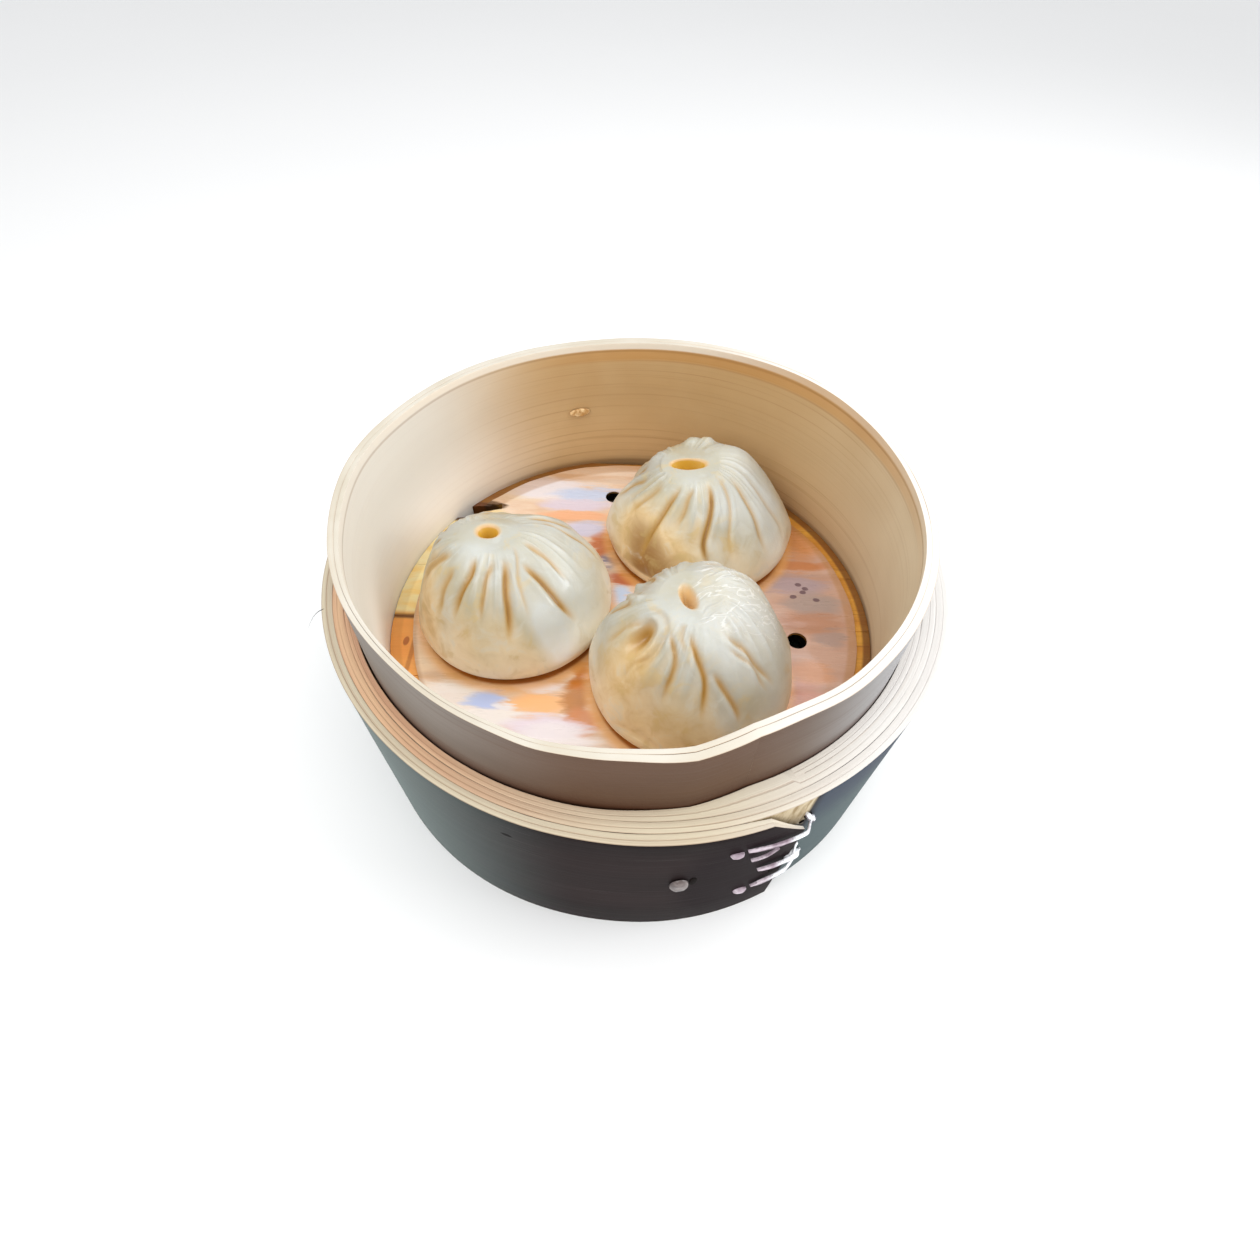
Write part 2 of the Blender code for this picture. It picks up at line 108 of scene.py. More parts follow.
# %% [markdown]
# Steamed dough and damp bamboo look best in broad, soft light. The strongest window stands on the
# right, so the left wall and the right flanks of the dumplings are the brightest, and the back wall is
# in shade. A weaker window at the back right gives wet places their shine, a reflector at the front
# left keeps the near side open, and a soft light above fills the tier.

# %% Lights
WINDOWS = (
    # (name, place, size in metres, power in watts, colour)
    ("window", (0.28, 0.14, 0.45), 0.40, 0.70, (1.0, 0.995, 0.985)),
    ("reflector", (-0.22, -0.34, 0.46), 0.45, 1.40, (1.0, 0.995, 0.985)),
    ("ceiling", (0.00, 0.05, 0.70), 0.50, 0.75, (1.0, 1.0, 0.995)),
    ("side_window", (0.56, -0.04, 0.26), 0.34, 1.50, (0.97, 0.985, 1.0)),
)
STUDIO_GLOW = 0.90


def hang_window(name, place, size, power, colour):
    """Hang a square soft light that faces the middle of the tier."""
    lamp = bpy.data.lights.new(name, "AREA")
    lamp.shape = "SQUARE"
    lamp.size = size
    lamp.energy = power
    lamp.color = colour
    item = put_in_scene(name, lamp)
    item.location = place
    item.rotation_euler = (CAMERA_TARGET - Vector(place)).to_track_quat("-Z", "Y").to_euler()


for window in WINDOWS:
    hang_window(*window)

world = bpy.data.worlds.new("studio")
bpy.context.scene.world = world
world.use_nodes = True
background = world.node_tree.nodes["Background"]
background.inputs["Color"].default_value = (0.97, 0.98, 1.0, 1.0)
background.inputs["Strength"].default_value = STUDIO_GLOW
bpy.context.scene.view_settings.view_transform = "Standard"
print("lights hung:", len(WINDOWS))

# %% [markdown]
# ## Tools for finishes
#
# A finish is one material. `Wire` wraps a socket so that `a * b + 0.5` adds the Math nodes it needs,
# and `Finish.node` adds any other node. Colours are written as they would be picked on a screen and
# turned into the linear values that a shader wants.

# %% Wires
class Wire:
    """A shader socket that Python's arithmetic works on."""

    def __init__(self, finish, socket):
        self.finish = finish
        self.socket = socket

    def maths(self, operation, first, second=0.0):
        """Add one Math node."""
        return self.finish.node("ShaderNodeMath", {"operation": operation}, {0: first, 1: second})

    def __add__(self, other):
        return self.maths("ADD", self, other)

    def __sub__(self, other):
        return self.maths("SUBTRACT", self, other)

    def __mul__(self, other):
        return self.maths("MULTIPLY", self, other)

    def __truediv__(self, other):
        return self.maths("DIVIDE", self, other)

    def __pow__(self, other):
        return self.maths("POWER", self, other)

    def __mod__(self, other):
        return self.maths("MODULO", self, other)

    def __rsub__(self, other):
        return self.maths("SUBTRACT", other, self)

    def __abs__(self):
        return self.maths("ABSOLUTE", self)

    __radd__ = __add__
    __rmul__ = __mul__

    def least(self, other):
        """Return the smaller of this and the other value."""
        return self.maths("MINIMUM", self, other)

    def most(self, other):
        """Return the larger of this and the other value."""
        return self.maths("MAXIMUM", self, other)

    def step(self, low, high):
        """Rise smoothly from 0 at low to 1 at high; low may be above high."""
        settings = {"interpolation_type": "SMOOTHSTEP"}
        return self.finish.node("ShaderNodeMapRange", settings, {"Value": self, 1: low, 2: high})


print("wires ready")

# %% [markdown]
# A finish is built the way a surface is: one ground colour, and then stains, lines and wear painted
# over it, each through its own mask. `paint` lays one such coat, and `done` hands the colour to the
# shader. A finish also knows how far a point is from the tier's axis, to the side and to the back,
# because damp and smoke have reached each side differently.

# %% Finishes
def tone(code):
    """Turn a screen colour such as C8A060 into linear red, green, blue and alpha."""
    parts = [int(code[start:start + 2], 16) / 255 for start in (0, 2, 4)]
    linear = [part / 12.92 if part <= 0.04045 else ((part + 0.055) / 1.055) ** 2.4 for part in parts]
    return (*linear, 1.0)


class Finish:
    """One material, with its Principled shader and the nodes that feed it."""

    def __init__(self, name, constants):
        self.material = bpy.data.materials.new(name)
        self.material.use_nodes = True
        self.tree = self.material.node_tree
        self.shader = self.tree.nodes["Principled BSDF"]
        for socket, value in constants.items():
            self.shader.inputs[socket].default_value = value
        self.place = self.node("ShaderNodeTexCoord", output="Object")
        self.x, self.y, self.z = self.split(self.place)
        self.side = self.x - AXIS.x
        self.back = self.y - AXIS.y
        self.colour = None

    def node(self, kind, settings=None, inputs=None, output=0):
        """Add a node, set it up, feed its sockets and return one output."""
        made = self.tree.nodes.new(kind)
        for key, value in (settings or {}).items():
            setattr(made, key, value)
        for key, value in (inputs or {}).items():
            self.feed(made.inputs[key], value)
        return Wire(self, made.outputs[output])

    def feed(self, socket, value):
        """Link a wire to a socket, or set the socket's own value or screen colour."""
        if isinstance(value, Wire):
            self.tree.links.new(value.socket, socket)
        else:
            socket.default_value = tone(value) if isinstance(value, str) else value

    def set(self, socket, value):
        """Feed one socket of the shader."""
        self.feed(self.shader.inputs[socket], value)

    def split(self, vector):
        """Return the three parts of a vector."""
        made = self.tree.nodes.new("ShaderNodeSeparateXYZ")
        self.feed(made.inputs[0], vector)
        return [Wire(self, output) for output in made.outputs]

    def join(self, x, y, z):
        """Return a vector made of three values."""
        return self.node("ShaderNodeCombineXYZ", None, {0: x, 1: y, 2: z})

    def layer(self, name, output="Fac"):
        """Read a value that the mesh carries."""
        return self.node("ShaderNodeAttribute", {"attribute_name": name}, None, output)

    def mix(self, factor, first, second):
        """Blend two colours."""
        settings = {"data_type": "RGBA"}
        return self.node("ShaderNodeMix", settings, {0: factor, 6: first, 7: second}, 2)

    def ground(self, factor, first, second):
        """Start with a blend of two colours."""
        self.colour = self.mix(factor, first, second)

    def paint(self, mask, colour):
        """Lay one more colour over what is there, as strongly as the mask says."""
        self.colour = self.mix(mask, self.colour, colour)

    def done(self):
        """Give the painted colour to the shader and return the finish."""
        self.set("Base Color", self.colour)
        print(f"{self.material.name}: {len(self.tree.nodes)} nodes")
        return self

    def distance(self, x, y):
        """Return how far a point is from 0, 0 in plan."""
        flat = self.join(x, y, 0.0)
        return self.node("ShaderNodeVectorMath", {"operation": "LENGTH"}, {0: flat}, "Value")

    def grain(self, vector, scale, detail=3.0, rough=0.5, warp=0.0):
        """Return noise from 0 to 1; scale is in lumps per unit of the vector."""
        inputs = {"Vector": vector, "Scale": scale, "Detail": detail, "Roughness": rough}
        inputs["Distortion"] = warp
        return self.node("ShaderNodeTexNoise", None, inputs)

    def spot(self, x, y, centre, size, soft=0.6):
        """Return 1 inside an oval patch, given in mm, fading to 0 at its edge."""
        across = (x - centre[0] * MM) / (size[0] * MM)
        along = (y - centre[1] * MM) / (size[1] * MM)
        return (across * across + along * along).step(1.0 + soft, 1.0 - soft)

    def bump(self, height, depth, strength=1.0):
        """Feed a height to the shader's normal; depth is the real size of the relief in metres."""
        inputs = {"Height": height, "Distance": depth, "Strength": strength}
        self.set("Normal", self.node("ShaderNodeBump", None, inputs))


print("finishes ready")

# %% [markdown]
# ## Tools for shapes
#
# Wood is cut before it is bent, and the same order works here. A blank is a flat box whose edges are
# eased with a bevel. It is cut into short lengths, every vertex keeps its place on the flat strip in
# the layer `strip`, and only then is the strip bent. The finishes read that layer, so the grain
# follows the strip round the hoop as it does in real bamboo.

# %% Blanks
def rise(value):
    """Rise smoothly from 0 to 1 as value goes from 0 to 1."""
    value = min(1.0, max(0.0, value))
    return value * value * (3.0 - 2.0 * value)


def turn_between(angle, centre):
    """Return the signed difference of two directions, in degrees."""
    return (angle - centre + 180.0) % 360.0 - 180.0


def swell(angle, centre, spread, amount):
    """Return a smooth swell round a hoop: this amount at its centre, less to either side."""
    return amount * math.exp(-((turn_between(angle, centre) / spread) ** 2))


def at_angle(radius, angle, height):
    """Return the point at this distance from the axis, in this direction."""
    turn = math.radians(angle)
    return AXIS + Vector((radius * math.cos(turn), radius * math.sin(turn), height))


def lengthwise(bm):
    """Return the edges that run along X."""
    return [edge for edge in bm.edges if abs(edge.verts[0].co.x - edge.verts[1].co.x) > MICRON]


def eased_blank(low, high, ease, segments=3):
    """Return a box between two corners with its four long edges rounded over."""
    bm = bmesh.new()
    bmesh.ops.create_cube(bm, size=1.0)
    bmesh.ops.scale(bm, vec=Vector(high) - Vector(low), verts=bm.verts)
    bmesh.ops.translate(bm, vec=(Vector(high) + Vector(low)) / 2, verts=bm.verts)
    bmesh.ops.bevel(
        bm, geom=lengthwise(bm), offset=ease, segments=segments, profile=0.5,
        affect="EDGES", offset_type="OFFSET", material=-1,
    )
    return bm


def cut_lengths(bm, cuts):
    """Cut a blank into equal short lengths so that it can bend."""
    bmesh.ops.subdivide_edges(bm, edges=lengthwise(bm), cuts=cuts, use_grid_fill=True)


def slice_blank(bm, point, normal, discard=False):
    """Cut a blank with a plane, and close it where the far side is thrown away."""
    parts = bm.verts[:] + bm.edges[:] + bm.faces[:]
    cut = bmesh.ops.bisect_plane(
        bm, geom=parts, plane_co=point, plane_no=normal, clear_outer=discard,
    )
    if discard:
        rim = [part for part in cut["geom_cut"] if isinstance(part, bmesh.types.BMEdge)]
        bmesh.ops.contextual_create(bm, geom=rim)


def slice_level(bm, heights):
    """Cut a blank level at each of these heights."""
    for height in heights:
        slice_blank(bm, Vector((0.0, 0.0, height)), Vector((0.0, 0.0, 1.0)))


def spin_round(bm, line, axis, steps):
    """Spin a line of vertices once round an axis through the origin."""
    edges = [bm.edges.new(pair) for pair in zip(line, line[1:])]
    bmesh.ops.spin(
        bm, geom=line + edges, cent=(0, 0, 0), axis=axis,
        angle=math.radians(360.0), steps=steps, use_merge=True,
    )
    bmesh.ops.remove_doubles(bm, verts=bm.verts, dist=MICRON)


def note_strip(bm, length_per_unit):
    """Keep each vertex's place on the flat strip: metres along, across and up."""
    layer = bm.verts.layers.float_vector.new("strip")
    for vert in bm.verts:
        vert[layer] = (vert.co.x * length_per_unit, vert.co.y, vert.co.z)


print("blanks ready to cut")

# %% [markdown]
# A mesh becomes a piece in one step. Its faces are turned outwards, it gets its finishes, it is tied to
# the tier so that it moves with it, and the node of the imported model that it stands in for is hidden.

# %% Pieces
def face_outwards(bm):
    """Make the faces of a closed mesh agree and point out of its volume."""
    bmesh.ops.recalc_face_normals(bm, faces=bm.faces)
    if bm.calc_volume(signed=True) < 0.0:
        bmesh.ops.reverse_faces(bm, faces=bm.faces)


def keep_mesh(bm, name):
    """Turn a bmesh into a mesh and free it."""
    mesh = bpy.data.meshes.new(name)
    bm.to_mesh(mesh)
    bm.free()
    return mesh


def set_down(bm, name, finishes, nodes, sharp=42.0):
    """Turn a finished bmesh into a piece that rides on the tier."""
    face_outwards(bm)
    mesh = keep_mesh(bm, name)
    for finish in finishes:
        mesh.materials.append(finish.material)
    mesh.shade_smooth()
    mesh.set_sharp_from_angle(angle=math.radians(sharp))
    piece = put_in_scene(name, mesh)
    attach(piece, "root")
    if nodes:
        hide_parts(*nodes)
    print(f"{name}: {len(mesh.polygons)} faces")


def join_into(whole, part):
    """Add one mesh to another and free it."""
    mesh = keep_mesh(part, "joining")
    whole.from_mesh(mesh)
    bpy.data.meshes.remove(mesh)


print("pieces can be set down")

# %% [markdown]
# ## Inner hoop
#
# The inner hoop is a thinner strip wound twice. It stands proud of the outer one, and there its rim is
# free: it is pressed in at the back, bulges on both sides of that and is kinked at the front. The kinks
# are a short list of humps, each with a place, a spread and an amount. The two turns are glued, so the
# second one starts a hair outside the first, and where the strip ends both turns step in together by
# one thickness, which makes the corner at the front. The strip is planed thinner in two places: inside,
# low down, where the floor was fitted, and along the rim at the front left.

# %% Inner hoop: how it is wound
TURN_GAP = 0.0003
HAIR = 0.00002
INNER_BORE = 0.0647
INNER_STRIP = 0.00125
INNER_TURNS = 2
INNER_END_ANGLE = 290.0
INNER_JOINT = 10.0
INNER_SPARE = (285.0, 15.0, 0.0003)
INNER_LENGTH = 2 * math.pi * 0.066
SWAY_START = 0.0530
FLOOR_PLANED = 0.0009
FLOOR_PLANED_TOP = 0.046
FLOOR_PLANED_FADE = 0.012
RIM_PLANED = (234.0, 36.0, 0.0012)
RIM_SWELLS = (
    # (direction and spread in degrees, amount in metres)
    (103.0, 28.0, -0.0019),
    (45.0, 18.0, 0.0010),
    (172.0, 14.0, 0.0010),
    (228.0, 15.0, -0.0010),
    (256.0, 5.0, 0.0004),
    (251.0, 16.0, -0.00055),
    (287.0, 8.0, -0.0004),
    (271.0, 5.0, -0.0003),
    (298.0, 8.0, -0.0009),
    (316.0, 8.0, -0.0003),
    (330.0, 12.0, -0.0002),
)


def inner_share(angle):
    """Return how far round from the inner strip's end this direction is, from 0 to 1."""
    return ((angle - INNER_END_ANGLE) % 360.0) / 360.0


def inner_radius(turns, across, height):
    """Return the inner strip's radius, from its inner face at across 0 to its outer face at 1."""
    angle = INNER_END_ANGLE + turns * 360.0
    free = max(0.0, (height - SWAY_START) / (RIM_TOP - SWAY_START))
    sway = free * sum(swell(angle, *place) for place in RIM_SWELLS)
    layer = min(int(turns), INNER_TURNS - 1)
    share = turns - layer
    joint = min(1.0, max(0.0, (share - 1.0) * 360.0 / INNER_JOINT + 1.0))
    planed = free * swell(angle, *RIM_PLANED)
    fitted = rise((FLOOR_PLANED_TOP - height) / FLOOR_PLANED_FADE)
    pitch = INNER_STRIP + TURN_GAP
    face = INNER_BORE + pitch * (share - joint)
    if layer == 0:
        low = face + FLOOR_PLANED * fitted + planed
        high = face + INNER_STRIP + 0.5 * planed
    else:
        low = face + INNER_STRIP + HAIR + 0.5 * planed
        high = face + pitch + INNER_STRIP + free * swell(angle, *INNER_SPARE)
    return low + (high - low) * across + sway


print(f"inner hoop is {2 * inner_radius(0.5, 0.0, RIM_TOP) / MM:.1f} mm across inside")

# %% [markdown]
# ## Outer hoop
#
# The outside of the tier is one thick bamboo strip wound three times round, with its dark satin skin
# outwards. Both ends are thinned to a scarf, and the outer end is cut on a slant and laced down. A
# spiral is one formula: the radius grows by one thickness and a hair of air per turn. Winding a flat
# blank with that formula keeps the layers, which show on the top edge as lines. A real hoop isn't quite
# round: this one is slack on the right and pressed in at the front left, mostly towards the top.

# %% Outer hoop: how it is wound
OUTER_BORE = 0.0680
OUTER_OFFSET = Vector((0.0005, 0.0005, 0.0))
OUTER_STRIP = 0.0019
OUTER_TURNS = 3
OUTER_END_ANGLE = 298.0
OUTER_SCARF = 26.0
OUTER_TIP = 0.4
OUTER_SPLAY = 0.0004
OUTER_SLACK = (357.0, 38.0, 0.0012)
OUTER_PRESSED = (
    # (direction and spread in degrees, amount in metres, how far it leans: 1 is none at the foot)
    (266.0, 20.0, 0.00070, 0.0),
    (230.0, 32.0, 0.00125, 1.0),
)
END_SLOPE_TURNS = 7.0 / 360.0
END_SLOPE_DROP = 0.011
END_LIFT = 0.0006
END_CLOSING = 12.0
WALL_GAP = 0.00018
# (direction and fade in degrees): the first turn stands off the inner hoop between these two.
STANDS_OFF_FROM = (430.0, 40.0)
STANDS_OFF_TO = (618.0, 20.0)
OUTER_LENGTH = 2 * math.pi * 0.0715


def strip_faces(degrees_left, at_start):
    """Return where a strip's two faces lie across its thickness, thinned towards an end."""
    kept = OUTER_TIP + (1.0 - OUTER_TIP) * rise(degrees_left / OUTER_SCARF)
    return (1.0 - kept, 1.0) if at_start else (0.0, kept)


def outer_radius(turns, across, height):
    """Return the outer strip's radius, from its inner face at across 0 to its skin at 1."""
    to_start = turns * 360.0
    to_end = OUTER_TURNS * 360.0 - to_start
    low, high = strip_faces(min(to_start, to_end), to_start < to_end)
    lift = END_LIFT * rise(1.0 - to_end / OUTER_SCARF)
    angle = OUTER_END_ANGLE + to_start
    spread = OUTER_SPLAY * height / OUTER_TOP + swell(angle, *OUTER_SLACK) / OUTER_TURNS
    for *place, leaning in OUTER_PRESSED:
        tall = 1.0 + leaning * (height / OUTER_TOP - 1.0)
        spread -= swell(angle, *place) * tall / OUTER_TURNS
    pitch = OUTER_STRIP + TURN_GAP + spread
    return OUTER_BORE + pitch * turns + lift + OUTER_STRIP * (low + (high - low) * across)


def outer_point(angle, radius, height):
    """Return the point in this direction at this distance from the outer hoop's own middle."""
    return at_angle(radius, angle, height) + OUTER_OFFSET


def fitted_face(turns, height):
    """Return where the strip's inner face lies once the turns have closed on each other."""
    face = outer_radius(turns, 0.0, height)
    if turns >= 1.0:
        closed = rise((OUTER_TURNS - turns) * 360.0 / END_CLOSING)
        return face + closed * (outer_radius(turns - 1.0, 1.0, height) + HAIR - face)
    angle = OUTER_END_ANGLE + turns * 360.0
    inner_turns = INNER_TURNS - 1.0 + inner_share(angle)
    away = OUTER_OFFSET.dot(at_angle(1.0, angle, 0.0) - AXIS)
    wall = inner_radius(inner_turns, 1.0, min(height, SWAY_START)) - away + WALL_GAP
    fitted = rise((angle - STANDS_OFF_TO[0]) / STANDS_OFF_TO[1])
    fitted += rise((STANDS_OFF_FROM[0] - angle) / STANDS_OFF_FROM[1])
    return face + fitted * (wall - face)


print(f"outer hoop is {2 * outer_radius(2.8, 1.0, OUTER_TOP) / MM:.1f} mm across")

# %% [markdown]
# The long edges are planed by hand, so the top of each turn wanders up and down by a few tenths of a
# millimetre. Slow noise along the strip does that, and it never lifts the edge above its nominal
# height.

# %% Outer hoop: wind it
LENGTHS_PER_TURN = 216
OUTER_PLANED_FROM = 0.048


def edge_wander(turns, seed, depth):
    """Return how far an edge is planed below its nominal height here."""
    slow = noise.noise(Vector((turns * 9.0, seed, 0.0)))
    quick = noise.noise(Vector((turns * 45.0, seed, 7.0)))
    return depth * min(1.0, max(0.0, 0.45 + 0.6 * slow + 0.25 * quick))


def wind_outer_hoop(skin, bare):
    """Wind the thick strip; its skin is the outer face and everything else is bare wood."""
    bm = eased_blank((0.0, 0.0, 0.0), (OUTER_TURNS, OUTER_STRIP, OUTER_TOP), 0.00008)
    slice_level(bm, (0.012, 0.024, 0.036, OUTER_PLANED_FROM, 0.053))
    cut_lengths(bm, OUTER_TURNS * LENGTHS_PER_TURN - 1)
    slope_start = Vector((OUTER_TURNS - END_SLOPE_TURNS, 0.0, OUTER_TOP))
    slice_blank(bm, slope_start, Vector((END_SLOPE_DROP, 0.0, END_SLOPE_TURNS)), discard=True)
    bm.normal_update()
    for face in bm.faces:
        face.material_index = 0 if face.normal.y > 0.95 else 1
    note_strip(bm, OUTER_LENGTH)
    turns_layer = bm.verts.layers.float.new("turns")
    for vert in bm.verts:
        turns, across, height = vert.co.x, vert.co.y / OUTER_STRIP, vert.co.z
        vert[turns_layer] = turns
        near_top = rise((height - OUTER_PLANED_FROM) / (OUTER_TOP - OUTER_PLANED_FROM))
        top = height - near_top * edge_wander(turns, 3.0, 0.0005)
        dent = 0.00008 * min(0.0, noise.noise(Vector((turns * 14.0, height * 90.0, 2.0))) - 0.3)
        face = fitted_face(turns, height)
        radius = face + (outer_radius(turns, 1.0, height) - face) * across
        vert.co = outer_point(OUTER_END_ANGLE + turns * 360.0, radius + dent, top)
    set_down(bm, "outer_hoop_strip", (skin, bare), ("outer_hoop",))


print(f"thick strip, {OUTER_TURNS * OUTER_LENGTH:.2f} m long")

# %% [markdown]
# The skin of the strip is smoked and oiled almost black. It is smooth, so it takes a satin shine, and it
# is marked by fine scratches that run round the hoop. Long noise, stretched along the strip, gives both
# the scratches and the slow changes of tone. Grey on the left and blue-grey on the right are painted
# reflections of the studio, where the skin turns away from the camera. By the lacing it is darkest,
# partly stain and partly painted shade. Where the end of the strip is scarfed, the skin is planed away
# and pale wood shows.

# %% Finish: smoked bamboo skin
def smoked_skin():
    """Dark satin skin with fine scratches along the strip."""
    finish = Finish("smoked_skin", {"Specular IOR Level": 0.02, "Coat Roughness": 0.35})
    along, _, up = finish.split(finish.layer("strip", "Vector"))
    turns = finish.layer("turns")
    streak = finish.grain(finish.join(along * 9.0, up * 900.0, 0.0), 1.0, 4.0, 0.6)
    cloud = finish.grain(finish.join(along * 14.0, up * 40.0, 3.0), 1.0, 3.0)
    scratch = finish.grain(finish.join(along * 30.0, up * 2600.0, 5.0), 1.0, 2.0).step(0.66, 0.74)
    left = finish.side.step(-0.010, -0.064)
    front = finish.y.step(-0.030, -0.050)
    right = finish.side.step(0.0362, 0.0400) * front + finish.side.step(0.000, 0.066) * (1.0 - front)
    finish.ground(cloud.step(0.3, 0.7), "1C1616", "2A2020")
    # Painted reflections: grey on the left and blue-grey on the right, where the satin skin turns from
    # the camera.
    finish.paint(left * 0.9, "737F7D")
    finish.paint(right * 0.9, finish.mix(up.step(0.030, 0.052), "546264", "424B58"))
    # Darkest by the lacing: partly stain and partly painted shade between the strands.
    lacing_stain_and_shade = finish.spot(finish.side, finish.z, (25.0, 27.0), (13.0, 32.0), 0.6)
    lacing_stain_and_shade = lacing_stain_and_shade * finish.y.step(-0.05, -0.06) * (1.0 - right)
    finish.paint(lacing_stain_and_shade * 0.8, finish.mix(cloud, "160708", "140910"))
    finish.paint(streak.step(0.55, 0.85) * 0.08, "8A8078")
    finish.paint(scratch * 0.10, "A8A29C")
    nick = finish.spot(finish.x, finish.z, (-23.8, 47.0), (1.1, 0.7)) * finish.y.step(-0.06, -0.068)
    finish.paint(nick, "151212")
    show_planed_end(finish, turns, up)
    finish.set("Roughness", 0.42 + streak * 0.16)
    finish.set("Coat Weight", 0.012 - cloud * 0.012)
    finish.bump(streak * 0.6 + scratch * -0.5 + cloud * 0.8 - nick * 2.0, 0.00012, 0.5)
    return finish.done()


def show_planed_end(finish, turns, up):
    """Paint pale wood where the skin is planed away behind the strip's slanting end."""
    before_end = (turns - (OUTER_TURNS - 1.0)) * 360.0
    near = before_end.step(-15.0, -13.0) * before_end.step(1.6, 0.6)
    streak = finish.grain(finish.join(finish.x * 900.0, finish.y * 900.0, up * 160.0), 1.0, 3.0, 0.6)
    slope = up - (OUTER_TOP - 0.0016) + (before_end + 9.0) * (END_SLOPE_DROP / 9.0)
    pale = finish.mix(streak.step(0.35, 0.7), "CABA9C", "9A8462")
    finish.paint(near * slope.step(-0.0008, 0.0004), pale)


SKIN = smoked_skin()

# %% [markdown]
# Everything else on the strip is bare wood. Its top edge shows the end of every layer: cream fibres with
# a thin brown line where the skin of one turn meets the next. Steam has stained the inner turns orange
# and pink on the left. On the right the edge is painted almost white, and its lines fainter, for the
# light and the reflected sky that fall there.

# %% Finish: bare edge of the outer strip
def bare_outer_edge():
    """Cream wood with fine layer lines along the strip."""
    finish = Finish("bare_outer_edge", {"Roughness": 0.6, "Specular IOR Level": 0.35})
    along, across, up = finish.split(finish.layer("strip", "Vector"))
    turns = finish.layer("turns")
    depth = across / OUTER_STRIP
    fibre = finish.grain(finish.join(along * 22.0, depth * 7.0, up * 1400.0), 1.0, 5.0, 0.65)
    stain = finish.grain(finish.join(along * 11.0, depth * 1.6, turns * 4.0), 1.0, 3.0, 0.6)
    inner_turns = turns.step(2.75, 1.7)
    left = finish.side.step(0.012, -0.050)
    right = finish.side.step(0.010, 0.055)
    finish.ground(stain.step(0.35, 0.75), "D2C6AC", "C0AF96")
    warm = finish.mix(stain.step(0.3, 0.7), "E0B48A", "CA9674")
    finish.paint(left * inner_turns * 0.85, warm)
    # Painted light: on the right the edge is painted almost white, and its lines fainter, for the light
    # and sky reflection there.
    finish.paint(right * 0.85, finish.mix(stain, "E2E0DE", "D2D0CE"))
    seam = abs(depth - 0.46 - fibre * 0.12).step(0.07, 0.02) * stain.step(0.25, 0.6)
    skin_line = depth.step(0.88, 0.99)
    finish.paint(seam * (0.45 - right * 0.40), "9A6B48")
    finish.paint(skin_line * (0.50 - right * 0.45), "7A4E30")
    finish.paint(fibre.step(0.55, 0.8) * 0.30, "B98F68")
    finish.bump(fibre - seam * 0.8 - skin_line * 0.6, 0.0002, 0.6)
    return finish.done()


wind_outer_hoop(SKIN, bare_outer_edge())

# %% [markdown]
# The inner hoop is wound in the same way, but one turn at a time. The ends of a turn meet at the
# corner, where everything steps in by one thickness, so two closed turns show that step more cleanly
# than one long strip. The part that stands free above the outer hoop is sliced finely, because the
# rim bends most there.

# %% Inner hoop: wind it
INNER_PLANED_FROM = 0.071


def wind_inner_turn(layer):
    """Wind one turn of the thin strip; its ends meet where the layers step in."""
    bm = eased_blank((layer, 0.0, INNER_BOTTOM), (layer + 1.0, INNER_STRIP, RIM_TOP), 0.00003)
    slice_level(bm, (0.030, 0.042, SWAY_START, 0.0575, 0.062, 0.0665, INNER_PLANED_FROM))
    cut_lengths(bm, LENGTHS_PER_TURN - 1)
    bm.normal_update()
    for face in bm.faces:
        face.material_index = 0 if face.normal.y < -0.6 else 1 if face.normal.y > 0.6 else 2
    note_strip(bm, INNER_LENGTH)
    for vert in bm.verts:
        turns, across, height = vert.co.x, vert.co.y / INNER_STRIP, vert.co.z
        near_top = rise((height - INNER_PLANED_FROM) / (RIM_TOP - INNER_PLANED_FROM))
        top = height - near_top * edge_wander(turns, 11.0, 0.00035)
        dent = 0.00007 * min(0.0, noise.noise(Vector((turns * 11.0, height * 70.0, 9.0))) - 0.3)
        radius = inner_radius(min(turns, layer + 0.99999), across, height)
        vert.co = at_angle(radius + dent, INNER_END_ANGLE + turns * 360.0, top)
    return bm


def wind_inner_hoop(inside, outside, edge):
    """Wind both turns; inside, outside and edges have a finish each."""
    hoop = bmesh.new()
    for layer in range(INNER_TURNS):
        join_into(hoop, wind_inner_turn(layer))
    finishes = (inside, outside, edge)
    set_down(hoop, "inner_hoop_strip", finishes, ("inner_hoop",))


print(f"thin strip, {INNER_TURNS * INNER_LENGTH:.2f} m long")
